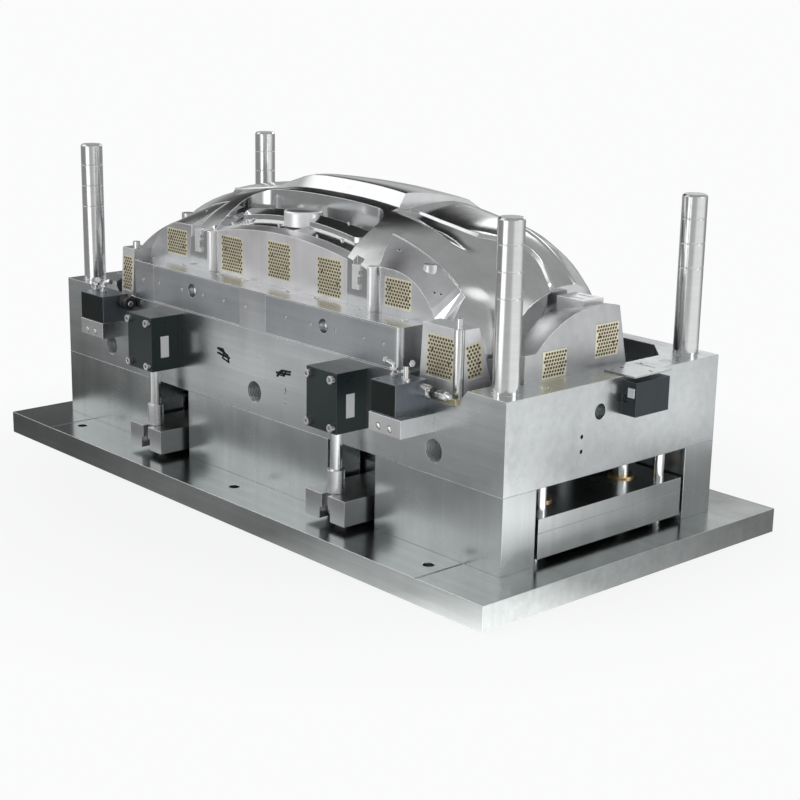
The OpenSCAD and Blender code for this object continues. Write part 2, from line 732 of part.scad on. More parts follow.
module lock_inserts() color(bright_steel) for (x = [lock_left_x, lock_right_x])
    difference() {
        span_box(x - lock_w / 2, x + lock_w / 2, pocket_front - 6, pocket_front + 16,
                 z_top + 190, z_top + 190 + lock_h);
        span_box(x + lock_w / 4, x + lock_w / 2 + eps, pocket_front - 6 - eps, pocket_front + 8,
                 z_top + 206, z_top + 232);
        translate([x + lock_w / 2, pocket_front - 6 - eps, z_top + 244]) rotate([-90, 0, 0])
            cylinder(d = 12, h = 12);
    }

// Parting bar with two dark inserts
module bar_outline() {
    square_l = 2 * (bar_half_l - bar_corner_r);
    translate([-square_l / 2, -half_w]) square([square_l, pocket_front_wall]);
    translate([-bar_half_l, -half_w + bar_corner_r])
        square([2 * bar_half_l, pocket_front_wall - bar_corner_r]);
    for (s = [-1, 1])
        translate([s * (bar_half_l - bar_corner_r), -half_w + bar_corner_r]) circle(r = bar_corner_r);
}

module bar_insert_seat(xs) {
    span_box(xs[0], xs[1], -half_w - eps, -half_w + bar_insert_t, z_top + 5, z_top + 5 + bar_insert_h);
}

module bar_front_holes() {
    for (x = bar_hole_xs) front_hole(x, bar_hole_z, bar_hole_d, 18);
    for (x = bar_bore_xs) front_hole(x, bar_hole_z + 4, bar_bore_d, 60);
}

module parting_bar() color(steel) difference() {
    translate([0, 0, z_top]) linear_extrude(bar_h) bar_outline();
    bar_insert_seat(bar_insert_left_x);
    bar_insert_seat(bar_insert_right_x);
    bar_front_holes();
    bar_screw_holes();
}

module bar_screw_holes() {
    for (x = bar_screw_xs) translate([x, -half_w + 82, 0]) {
        translate([0, 0, z_top - eps]) cylinder(d = 14, h = bar_h + 2 * eps);
        translate([0, 0, z_bar_top - 12]) cylinder(d = hole_cap, h = 12 + eps);
    }
}

module bar_screws() color(bright_steel) for (x = bar_screw_xs) translate([x, -half_w + 82, 0]) {
    translate([0, 0, z_top + 20]) cylinder(d = 14, h = bar_h - 32);
    translate([0, 0, z_bar_top - 12]) difference() {
        cylinder(d = hole_cap - 2, h = 14);
        translate([0, 0, 6]) cylinder(d = 12, h = 9, $fn = 6);
    }
}

module bar_insert(xs) color(dark_steel) difference() {
    span_box(xs[0], xs[1], -half_w, -half_w + bar_insert_t, z_top + 5, z_top + 5 + bar_insert_h);
    bar_front_holes();
}

// Corner blocks on the open ledges
module corner_profile() {
    polygon([
        [-half_w + 30, z_ledge], [-half_w + 42, z_ledge + corner_h],
        [-half_w + 42 + corner_top, z_ledge + corner_h], [-half_w + 30 + corner_foot, z_ledge]
    ]);
}

module corner_solid(x0, x1) {
    translate([x0, 0, 0]) rotate([90, 0, 90]) linear_extrude(x1 - x0) corner_profile();
}

corner_lean = atan(12 / corner_h);
corner_plate_w = wear_w - 6;
left_plate_w = 60;
corner_plate_up = 62;
flank_plate_w = 62;
flank_plate_h = 106;

// Frame on the sloping front face of a corner block, with Z pointing outwards
module on_corner_front(x) {
    translate([x, -half_w + 30, z_ledge]) rotate([90 - corner_lean, 0, 0]) children();
}

corner_side_in = 96;
corner_side_up = 120;
corner_side_turn = 6.5;

// Frame at the middle of the wear plate on the right corner block's outer face, leaning like its rear
module on_corner_side() {
    translate([corner_right_x1, -half_w + corner_side_in, z_ledge + corner_side_up])
        rotate([90, 0, 90]) rotate([0, 0, corner_side_turn]) children();
}

module corner_block(x0, x1, plate_w) {
    difference() {
        corner_solid(x0, x1);
        on_corner_front((x0 + x1) / 2)
            translate([-plate_w / 2, corner_plate_up, -wear_t]) cube([plate_w, wear_h, wear_t + 5]);
    }
}

module corner_post_place() {
    translate([corner_right_x1 - 2, -half_w + 35, z_ledge]) children();
}

module corner_block_right() color(steel) difference() {
    corner_block(corner_right_x0, corner_right_x1, corner_plate_w);
    on_corner_side() translate([-flank_plate_w / 2, -flank_plate_h / 2, -wear_t])
        cube([flank_plate_w, flank_plate_h, wear_t + eps]);
    corner_post_place() translate([0, 0, -eps]) cylinder(r = corner_post_r, h = corner_h + 2 * eps);
}

module corner_block_left() color(steel) corner_block(-corner_left_x1, -corner_right_x0, left_plate_w);

module corner_wear_plate(x, w) {
    on_corner_front(x) translate([0, corner_plate_up + wear_h / 2, -wear_t]) wear_plate(w, wear_h);
}

module wear_plates_corner() color(bronze) {
    corner_wear_plate((corner_right_x0 + corner_right_x1) / 2, corner_plate_w);
    corner_wear_plate(-(corner_right_x0 + corner_left_x1) / 2, left_plate_w);
    on_corner_side() translate([0, 0, -wear_t]) wear_plate(flank_plate_w, flank_plate_h);
}

corner_pin_r = 9;
corner_pin_h = 32;
corner_stub_r = 13;
corner_stub_h = 26;

module corner_pins() color(bright_steel) {
    corner_post_place() {
        cylinder(r = corner_post_r, h = corner_h + 6);
        translate([0, 0, corner_h + 6]) cylinder(r = corner_pin_r, h = corner_pin_h);
    }
    translate([-corner_right_x0 - 12, -half_w + 60, z_ledge + corner_h])
        cylinder(r = corner_stub_r, h = corner_stub_h);
}

end_arc_steps = 32;

// One end face of an end block: front lug, arc and leaning rear
function end_ring(x, top, r, yc, lug) =
    let (y0 = yc - sqrt(r * r - pow(r - top + lug, 2)), y1 = end_rear - end_lean)
    concat([[x, -end_lug_front, z_pocket], [x, -end_lug_front, z_top + lug]],
           [for (i = [0:end_arc_steps]) let (y = blend(y0, y1, i / end_arc_steps))
               [x, y, z_top + top - r + sqrt(r * r - pow(y - yc, 2))]],
           [[x, end_rear, z_top], [x, end_rear, z_pocket]]);

// End blocks whose arched tops fall towards the core
module end_block(side) color(steel) mirror([side > 0 ? 0 : 1, 0, 0]) difference() {
    loft([end_ring(crown_half_l, end_arc_up - end_fall, end_inner_r, end_inner_y, end_lug_up - end_lug_fall),
          end_ring(pocket_x, end_arc_up, end_arc_r, end_arc_y, end_lug_up)]);
    for (p = end_plates) on_end(p)
        translate([-p[2] / 2, -p[3] / 2, -wear_t]) cube([p[2], p[3], wear_t + eps]);
    end_pad_place() cube([end_pad_l, end_pad_w, end_pad_t]);
}

module end_pad_place() {
    translate([crown_half_l + 20, -end_pad_front, z_top + end_arc_up + end_pad_proud - end_pad_t]) children();
}

// Pads let into the end blocks' tops
end_pad_l = 110;
end_pad_w = 90;
end_pad_t = 62;
end_pad_proud = 12;
end_pad_front = 20;

// Wear plates of the end blocks: place across, height above the core plate, length, height
end_plates = [[-166, 44, 104, 84], [66, 86, 104, 104]];

module on_end(p) {
    translate([pocket_x, p[0], z_top + p[1]]) rotate([90, 0, 90]) children();
}

module wear_plates_end() color(bronze) for (s = [0, 1]) mirror([s, 0, 0])
    for (p = end_plates) on_end(p) translate([0, 0, -wear_t]) wear_plate(p[2], p[3]);

module end_pads() color(steel) for (s = [0, 1]) mirror([s, 0, 0]) end_pad_place() difference() {
    cube([end_pad_l, end_pad_w, end_pad_t]);
    for (y = [20, 62]) translate([30, y, end_pad_t - 8]) cube([end_pad_l - 50, 8, 9]);
}

// Guide pillars with three oil grooves
module guide_pillar(sx, sy) color(bright_steel) translate([sx * pillar_x, sy * pillar_y, z_core])
    rotate_extrude($fn = 96) pillar_profile();

module pillar_profile() {
    h = core_h + pillar_up;
    r = pillar_d / 2;
    difference() {
        union() {
            square([r, h]);
            square([pillar_fix_d / 2, core_h]);
            square([pillar_fix_d / 2 + 9, pillar_foot_t]);
        }
        translate([r - 6, h]) polygon([[0, eps], [6 + eps, eps], [6 + eps, -6 - eps], [6, -6], [0, 0]]);
        for (i = [1:3]) translate([r - 1, h - i * oil_groove_gap]) square([2, 3]);
    }
}

// Side lifters, their rods, bushes and feet
lifter_steps = 20;

// Heights of a lifter's arched front edge and of the core's skin along its rear edge
function lifter_front_h(x) =
    let (d = max(0, x - lifter_x1 + lifter_shoulder_in), r = lifter_shoulder_r)
    lifter_up - r + sqrt(r * r - d * d);
function lifter_rear_h(x) = dome_z(x, pocket_front + lifter_t) - z_top;

// Inner end of the rear edge, found in a few steps because edge and skin both lean
function lifter_rear_x(x, n) = n == 0 ? x : lifter_rear_x(lifter_edge(lifter_rear_h(x), lifter_t), n - 1);

// One end face of the lifter's head, drawn from the outer foot over the top to the inner foot
function lifter_ring(back, x_in, rear) = [
    for (p = concat(
        [[lifter_x1, -pocket_depth]],
        [for (i = [lifter_steps:-1:0]) let (x = blend(x_in, lifter_x1, i / lifter_steps))
            [x, rear ? lifter_rear_h(x) : lifter_front_h(x)]],
        [[lifter_edge(-pocket_depth, back), -pocket_depth]]))
    [p[0], pocket_front + back, z_top + p[1]]
];

module lifter(side) color(steel) mirror([side > 0 ? 0 : 1, 0, 0]) difference() {
    union() {
        loft([lifter_ring(slide_gap, lifter_edge(lifter_up, slide_gap), false),
              lifter_ring(lifter_t, lifter_rear_x(lifter_x0, 8), true)]);
        translate([lifter_pad_x, -lifter_pad_y, z_top + lifter_up - 30]) cylinder(d = lifter_pad_d, h = 50);
    }
    along_lifter(1) translate([0, 0, -pocket_depth - 10]) cylinder(d = lifter_rod_d, h = pocket_depth + 70);
    translate([0, slide_gap, 0]) wear_seat(lifter_plate_x, wear_front_z, side_wear_h);
}

module lifter_wear_plate(side) color(bronze)
    translate([0, slide_gap, 0]) front_wear_plate(side * lifter_plate_x, wear_front_z, side_wear_h);

lifter_foot_z = z_retainer + 30;
lifter_foot_x = lifter_rod_x + (z_top - lifter_foot_z) * tan(lifter_angle);
shoe_l = 100;
shoe_w = 64;
shoe_h = 50;
lifter_rod_low = (z_top - lifter_foot_z) / cos(lifter_angle);

module lifter_rod(side) color(bright_steel) {
    along_lifter(side) difference() {
        translate([0, 0, -lifter_rod_low - 14]) cylinder(d = lifter_rod_d, h = lifter_rod_low + 14 + 60);
        translate([0, 30, -lifter_rod_low]) rotate([90, 0, 0]) cylinder(d = foot_pin_d, h = 60);
    }
    along_lifter(side) translate([0, shoe_w / 2 - 1, -lifter_rod_low]) rotate([90, 0, 0])
        cylinder(d = foot_pin_d, h = shoe_w - 2);
}

module lifter_bushes() color(bronze) for (s = [-1, 1]) difference() {
    intersection() {
        along_lifter(s) translate([0, 0, -core_h - 60]) cylinder(d = lifter_bush_d, h = core_h);
        span_box(-half_l, half_l, -half_w, half_w, z_core, z_pocket);
    }
    along_lifter(s) translate([0, 0, -core_h - 70])
        cylinder(d = lifter_rod_d + 2 * run_gap, h = core_h + 70);
}

// Slotted shoes let into the retainer plate, where the lifters' foot pins slide sideways
module shoe_seat(s) {
    translate([s * lifter_foot_x - shoe_l / 2, -lifter_rod_y - shoe_w / 2, z_retainer])
        cube([shoe_l, shoe_w, retainer_t + eps]);
}

module lifter_shoes() color(dark_steel) for (s = [-1, 1])
    translate([s * lifter_foot_x, -lifter_rod_y, z_retainer]) difference() {
        translate([-shoe_l / 2, -shoe_w / 2, 0]) cube([shoe_l, shoe_w, shoe_h]);
        translate([-shoe_l / 2 + 6, -21, 10]) cube([shoe_l - 12, 42, shoe_h]);
        for (dx = [-1, 1]) translate([dx * 11, shoe_w, lifter_foot_z - z_retainer]) rotate([90, 0, 0])
            cylinder(d = foot_pin_d + 2 * run_gap, h = 2 * shoe_w);
        translate([-11, -shoe_w, lifter_foot_z - z_retainer - foot_pin_d / 2 - run_gap])
            cube([22, 2 * shoe_w, foot_pin_d + 2 * run_gap]);
    }

// Ejector plates and what rides on them
module ejector_plan_holes(z0, h) {
    translate([0, 0, z0]) {
        at(support_places) cylinder(d = support_d + 12, h = h);
    }
}

module ejector_base_plate() color(steel) difference() {
    span_box(-half_l, half_l, -ejector_half_w, ejector_half_w, z_base, z_retainer);
    ejector_plan_holes(z_base - eps, base_t + 2 * eps);
    at(guide_places) translate([0, 0, z_base - eps]) cylinder(d = guide_bush_d, h = base_t + 2 * eps);
    at(stop_places) translate([0, 0, z_base - eps]) cylinder(d = stop_shank_d, h = stop_shank_l + eps);
}

module ejector_retainer_plate() color(steel) difference() {
    span_box(-half_l, half_l, -ejector_half_w, ejector_half_w, z_retainer, z_ejector_top);
    for (s = [-1, 1]) shoe_seat(s);
    ejector_plan_holes(z_retainer - eps, retainer_t + 2 * eps);
    at(guide_places) translate([0, 0, z_retainer - eps]) cylinder(d = guide_bush_d, h = retainer_t + 2 * eps);
    at(return_places) translate([0, 0, z_retainer - eps]) {
        cylinder(d = return_pin_d, h = retainer_t + 2 * eps);
        cylinder(d = return_pin_d + return_head_wider, h = return_head_t + eps);
    }
    at(all_eject_places) translate([0, 0, z_retainer - eps]) {
        cylinder(d = eject_pin_d, h = retainer_t + 2 * eps);
        cylinder(d = eject_pin_d + eject_head_wider, h = eject_head_t + eps);
    }
}

// Heads of the return pins and ejector pins: how much wider than the pin, and how thick
return_head_wider = 8;
return_head_t = 10;
eject_head_wider = 6;
eject_head_t = 8;
// How far a return pin ends below the core plate's top, and an ejector pin below the skin at its axis
return_pin_under = 0.5;
eject_pin_under = 4;
stop_d = 40;
stop_shank_d = 14;
stop_shank_l = 20;

module stop_buttons() color(bright_steel) at(stop_places) {
    translate([0, 0, z_spacer]) cylinder(d = stop_d, h = stop_h);
    translate([0, 0, z_base]) cylinder(d = stop_shank_d, h = stop_shank_l);
}

module return_pins() color(bright_steel) at(return_places) {
    translate([0, 0, z_retainer]) cylinder(d = return_pin_d + return_head_wider, h = return_head_t);
    translate([0, 0, z_retainer + return_head_t])
        cylinder(d = return_pin_d, h = z_top - z_retainer - return_head_t - return_pin_under);
}

module ejector_pins() color(bright_steel) for (p = all_eject_places) translate([p[0], p[1], 0]) {
    translate([0, 0, z_retainer]) cylinder(d = eject_pin_d + eject_head_wider, h = eject_head_t);
    tip_z = crown_z(p[0], p[1]) - eject_pin_under;
    translate([0, 0, z_retainer + eject_head_t])
        cylinder(d = eject_pin_d, h = tip_z - z_retainer - eject_head_t);
}

guide_pin_seat = 60;

module ejector_guide_pins() color(bright_steel) at(guide_places)
    translate([0, 0, z_spacer]) cylinder(d = guide_pin_d, h = spacer_h + guide_pin_seat);

module ejector_guide_bushes() color(bronze) at(guide_places) difference() {
    union() {
        translate([0, 0, z_base]) cylinder(d = guide_bush_d, h = base_t + retainer_t);
        translate([0, 0, z_ejector_top]) cylinder(d = guide_bush_d + 10, h = 6);
    }
    translate([0, 0, z_base - eps]) cylinder(d = guide_pin_d + 2 * run_gap, h = base_t + retainer_t + 10);
}

module support_pillars() color(steel) at(support_places)
    translate([0, 0, z_spacer]) cylinder(d = support_d, h = spacer_h);

// Hydraulic cylinders
module on_cylinder(sx, sy) {
    translate([sx * notch_x, sy * cylinder_y, cylinder_z]) rotate([0, 0, sy > 0 ? 180 : 0]) children();
}

cyl_corners = [for (sx = [-1, 1], z = [20, cyl_h - 20]) [sx * (cyl_w / 2 - 16), z]];

// Shanks of the cylinder screws, from the block's face down to a depth measured from the middle
module cylinder_screw_shanks(depth_y, d) {
    for (sx = [-1, 1], sy = [-1, 1]) on_cylinder(sx, sy) for (c = cyl_corners)
        translate([c[0], -cyl_d / 2 - eps, c[1]]) rotate([-90, 0, 0])
            cylinder(d = d, h = cyl_d + eps + half_w - depth_y);
}

module cylinder_block(sx, sy) color(housing_dark) on_cylinder(sx, sy) difference() {
    translate([-cyl_w / 2, -cyl_d / 2, 0]) cube([cyl_w, cyl_d, cyl_h]);
    translate([0, 0, 24]) cylinder(d = piston_d, h = cyl_h - 44);
    translate([0, 0, -eps]) cylinder(d = rod_d + 2 * run_gap, h = 40);
    for (c = cyl_corners) translate([c[0], -cyl_d / 2 - eps, c[1]]) rotate([-90, 0, 0])
        cylinder(d = cyl_screw_d + 1, h = cyl_d + 2 * eps);
}

module cylinder_screws() color(bright_steel) for (sx = [-1, 1], sy = [-1, 1]) on_cylinder(sx, sy)
    for (c = cyl_corners) translate([c[0], -cyl_d / 2, c[1]]) rotate([90, 0, 0]) {
        difference() {
            cylinder(d = cyl_screw_d + 10, h = cyl_screw_d);
            translate([0, 0, 8]) cylinder(d = 13, h = 9, $fn = 6);
        }
        translate([0, 0, -cyl_d - 32]) cylinder(d = cyl_screw_d, h = cyl_d + 32);
    }

piston_rest = 26;
coupling_z = z_base + lift_block_h + 1 - cylinder_z;

module piston_rods() color(bright_steel) for (sx = [-1, 1], sy = [-1, 1]) on_cylinder(sx, sy) {
    translate([0, 0, piston_rest]) cylinder(d = piston_d - 2 * run_gap, h = 30);
    translate([0, 0, coupling_z + coupling_h - 30])
        cylinder(d = rod_d, h = piston_rest + 30 - coupling_z - coupling_h);
}

module rod_couplings() color(steel) for (sx = [-1, 1], sy = [-1, 1]) on_cylinder(sx, sy)
    translate([0, 0, coupling_z]) difference() {
        union() {
            cylinder(d = coupling_d, h = coupling_h);
            translate([0, 0, -46]) cylinder(d = 28, h = 47);
            translate([0, 0, -68]) cylinder(d = 48, h = 22);
        }
        translate([0, 0, coupling_h - 30]) cylinder(d = rod_d, h = 31);
    }

module lift_blocks() color(steel) for (sx = [-1, 1], sy = [-1, 1])
    translate([sx * notch_x, 0, z_base]) rotate([0, 0, sy > 0 ? 180 : 0]) difference() {
        translate([-lift_block_w / 2, -half_w - lift_block_out, 0])
            cube([lift_block_w, half_w + lift_block_out - ejector_half_w, lift_block_h]);
        translate([-15, -half_w - lift_block_out - eps, -eps])
            cube([30, lift_block_out - cyl_d / 2 + 15 + eps, lift_block_h + 2 * eps]);
        translate([-26, -half_w - lift_block_out - eps, -eps])
            cube([52, lift_block_out - cyl_d / 2 + 26 + eps, 40 + eps]);
    }

// Switch boxes at the front, their brackets and connectors
box_places = [[-905, -760, box_left_d], [737, 845, box_right_d]];
bracket_places = [[-905, -760, box_left_d + 4], [737, 878, box_right_d + 8]];
z_box = z_top - 95;
connector_l = 40;

module switch_boxes() color(housing_dark) for (b = box_places) difference() {
    span_box(b[0], b[1], -half_w - b[2], -half_w, z_box, z_box + box_h);
    for (x = [b[0] + 14, b[1] - 14]) translate([x, -half_w - b[2] + 14, z_box + box_h - 8])
        cylinder(d = 10, h = 9);
}

// Screws that hold a box bracket: places from its left end, drop below its middle, seat and hole
bracket_screw_in = [42, 92];
bracket_screw_drop = 8;
bracket_seat_d = 22;
bracket_seat_t = 16;
bracket_hole_d = 14;

module box_brackets() color(bright_steel) for (b = bracket_places) difference() {
    span_box(b[0], b[1], -half_w - b[2], -half_w, z_box - bracket_h, z_box);
    for (dx = bracket_screw_in) {
        at_screw = [b[0] + dx, -half_w - b[2] - eps, z_box - bracket_h / 2 - bracket_screw_drop];
        translate(at_screw) rotate([-90, 0, 0]) {
            cylinder(d = bracket_seat_d, h = bracket_seat_t);
            cylinder(d = bracket_hole_d, h = b[2] + 2 * eps);
        }
    }
}

module box_connectors() color(steel) {
    for (b = box_places) translate([b[1], -half_w - 26, z_box + box_h - 26]) rotate([0, 90, 0]) {
        cylinder(d = connector_d, h = connector_l);
        translate([0, 0, connector_l]) cylinder(d = connector_d - 10, h = 14);
    }
    for (b = box_places, dx = [24, 74]) translate([b[0] + dx, -half_w - 58, z_box + box_h]) {
        cylinder(d = 24, h = 10);
        translate([0, 0, 10]) cylinder(d = 16, h = 12);
    }
}

// Junction box on the right end face with its cover plate on the core plate
module junction_box() color(housing_dark) difference() {
    span_box(half_l, half_l + junction_d, 18, 18 + junction_w, z_top - 12 - junction_h, z_top - 12);
    span_box(half_l + 4, half_l + 24, 17, 24, z_top - 80, z_top - 52);
}

module junction_cover() color(bright_steel) difference() {
    span_box(half_l - 80, half_l + 44, 22, 190, z_top, z_top + 5);
    for (y = [40, 172]) translate([half_l - 62, y, z_top - eps]) cylinder(d = 11, h = 8);
}

clamp_plate();
spacer(-half_l, -notch_out, -1);  // spacer_front_left
spacer(-notch_in, notch_in, -1);  // spacer_front_middle
spacer(notch_out, half_l, -1);  // spacer_front_right
spacer(-half_l, -notch_out, 1);  // spacer_rear_left
spacer(-notch_in, notch_in, 1);  // spacer_rear_middle
spacer(notch_out, half_l, 1);  // spacer_rear_right
plate_screws();
core_plate();
core_crown();
crown_boss();
front_block();
front_posts();
lock_inserts();
parting_bar();
bar_insert(bar_insert_left_x);  // bar_insert_left
bar_insert(bar_insert_right_x);  // bar_insert_right
bar_screws();
corner_block_left();
corner_block_right();
corner_pins();
end_block(-1);  // end_block_left
end_block(1);  // end_block_right
end_pads();
wear_plates_front();
wear_plates_corner();
wear_plates_end();
guide_pillar(-1, -1);  // guide_pillar_front_left
guide_pillar(1, -1);  // guide_pillar_front_right
guide_pillar(-1, 1);  // guide_pillar_rear_left
guide_pillar(1, 1);  // guide_pillar_rear_right
lifter(-1);  // lifter_left
lifter(1);  // lifter_right
lifter_rod(-1);  // lifter_rod_left
lifter_rod(1);  // lifter_rod_right
lifter_wear_plate(-1);  // lifter_wear_plate_left
lifter_wear_plate(1);  // lifter_wear_plate_right
lifter_bushes();
lifter_shoes();
ejector_base_plate();
ejector_retainer_plate();
stop_buttons();
return_pins();
ejector_pins();
ejector_guide_pins();
ejector_guide_bushes();
support_pillars();
cylinder_block(-1, -1);  // cylinder_front_left
cylinder_block(1, -1);  // cylinder_front_right
cylinder_block(-1, 1);  // cylinder_rear_left
cylinder_block(1, 1);  // cylinder_rear_right
piston_rods();
rod_couplings();
lift_blocks();
cylinder_screws();
switch_boxes();
box_brackets();
box_connectors();
junction_box();
junction_cover();
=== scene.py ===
"""Looks for the core half of a large injection mould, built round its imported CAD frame.

Every length is in metres, unless a name or a note says millimetres, and lies in the
CAD's own frame: X along the mould, the front with the parting bar faces -Y, and Z is
up from the clamp plate's underside.
"""

from __future__ import annotations

import logging
import math
from dataclasses import dataclass, field
from enum import Enum
from typing import Iterable, Sequence

import bmesh
import bpy
from mathutils import Matrix, Vector
from mathutils.bvhtree import BVHTree

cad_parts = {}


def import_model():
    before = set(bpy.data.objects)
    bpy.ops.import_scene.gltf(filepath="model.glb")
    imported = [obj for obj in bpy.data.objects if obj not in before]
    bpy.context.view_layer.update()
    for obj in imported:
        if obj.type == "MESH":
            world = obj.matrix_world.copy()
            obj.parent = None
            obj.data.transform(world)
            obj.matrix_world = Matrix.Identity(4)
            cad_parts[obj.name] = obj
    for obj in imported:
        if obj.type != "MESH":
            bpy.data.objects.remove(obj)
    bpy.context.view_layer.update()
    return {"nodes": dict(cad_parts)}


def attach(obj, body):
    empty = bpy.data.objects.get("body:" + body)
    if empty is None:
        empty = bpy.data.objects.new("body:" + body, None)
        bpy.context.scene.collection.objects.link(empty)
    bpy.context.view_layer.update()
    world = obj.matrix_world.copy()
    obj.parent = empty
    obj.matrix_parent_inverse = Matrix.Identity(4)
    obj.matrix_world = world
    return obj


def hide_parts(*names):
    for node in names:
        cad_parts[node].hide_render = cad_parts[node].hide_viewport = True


LOG = logging.getLogger("mould")
MM = 0.001
FRONT = Vector((0.0, -1.0, 0.0))
REAR = Vector((0.0, 1.0, 0.0))
RIGHT = Vector((1.0, 0.0, 0.0))
UP = Vector((0.0, 0.0, 1.0))
NEAR_WHITE = (0.965, 0.967, 0.97, 1.0)

# How a finish's patterns change it: the gain and start of their sum, the weights of fine marks and of streaks
# as shares of marks and patches, how far the colour follows the sum and how dark it gets at least, the
# roughness of the smoothest and roughest patches as shares of the mean, and the depth of the marks.
PATTERN_GAIN = 2.2
PATTERN_START = -0.6
FINE_SHARE = 0.7
STREAK_SHARE = 0.8
COLOUR_SPREAD = 1.3
DARKEST_SHARE = 0.1
PATCH_LOW = 0.3
PATCH_HIGH = 0.7
SMOOTHEST = 0.82
ROUGHEST = 1.22
MARK_DEPTH = 0.00004
MARK_STRENGTH = 0.6
COAT_ROUGHNESS = 0.25

# The angles up to which edges are shaded smoothly, in degrees.
LATHE_ANGLE = 32.0
BEAD_ANGLE = 40.0
SKIN_ANGLE = 24.0

# The brightness that a ramp's curve reaches at its top.
RAMP_TOP = 2.0

Point = tuple[float, float, float]
Colour = tuple[float, float, float]
Profile = Sequence[tuple[float, float]]
Stops = tuple[tuple[float, float], ...]


class Body(Enum):
    """The CAD bodies that the made pieces ride on."""

    HALF = "mould_half"
    LIFTER_LEFT = "lifter_left"
    LIFTER_RIGHT = "lifter_right"


class Grain(Enum):
    """How a finish's fine marks run, as the pattern's density along X, Y and Z in marks a metre."""

    ALONG_X = (9.0, 420.0, 420.0)
    UPRIGHT = (420.0, 420.0, 7.0)
    TURNED = (6.0, 6.0, 900.0)
    STONED = (150.0, 150.0, 150.0)
    MOULDED = (900.0, 900.0, 900.0)


def mm(*values: float) -> Vector:
    """Return a vector from millimetres."""
    return Vector([v * MM for v in values])


def link(obj: bpy.types.Object) -> bpy.types.Object:
    """Put an object into the scene and return it."""
    bpy.context.scene.collection.objects.link(obj)
    return obj


# Node trees


class Wiring:
    """A node tree under construction, with short calls for its nodes."""

    def __init__(self, tree: bpy.types.NodeTree) -> None:
        """Take up a tree."""
        self.tree = tree

    def fill(self, node: bpy.types.Node, *values: object, **named: object) -> bpy.types.Node:
        """Set a node's properties and link or set its inputs.

        Args:
            node: The node.
            values: What goes into the first inputs, in order: a node, a socket or a plain value.
            named: Properties by their own names, in lower case, and inputs by theirs, with an
                underscore for a space.

        Returns:
            The node.
        """
        for name, value in named.items():
            if name[0].islower():
                setattr(node, name, value)
        pairs = list(zip(node.inputs, values))
        for name, value in named.items():
            if name[0].isupper():
                pairs.append((node.inputs[name.replace("_", " ")], value))
        for socket, value in pairs:
            if isinstance(value, bpy.types.Node):
                value = next(output for output in value.outputs if output.enabled)
            if isinstance(value, bpy.types.NodeSocket):
                self.tree.links.new(value, socket)
            else:
                socket.default_value = value
        return node

    def add(self, kind: str, *values: object, **named: object) -> bpy.types.Node:
        """Add a node, fill it and return it."""
        return self.fill(self.tree.nodes.new(kind), *values, **named)

    def math(self, operation: str, *values: object) -> bpy.types.Node:
        """Add a Math node and return it."""
        return self.add("ShaderNodeMath", *values, operation=operation)


class Group(Wiring):
    """A node group under construction."""

    def __init__(self, name: str, kind: str) -> None:
        """Start a group with nothing in it."""
        super().__init__(bpy.data.node_groups.new(name, kind))
        self.inlet = self.add("NodeGroupInput")
        self.outlet = self.add("NodeGroupOutput")

    def input(self, name: str, kind: str) -> bpy.types.NodeSocket:
        """Add a named input and return its socket inside the group.

        Args:
            name: The input's name.
            kind: Float, Int, Vector, Geometry or Material.
        """
        self.tree.interface.new_socket(name, in_out="INPUT", socket_type=f"NodeSocket{kind}")
        return self.inlet.outputs[name]

    def output(self, name: str, kind: str, source: object) -> None:
        """Add a named output and link a node or socket to it."""
        self.tree.interface.new_socket(name, in_out="OUTPUT", socket_type=f"NodeSocket{kind}")
        self.fill(self.outlet, **{name: source})


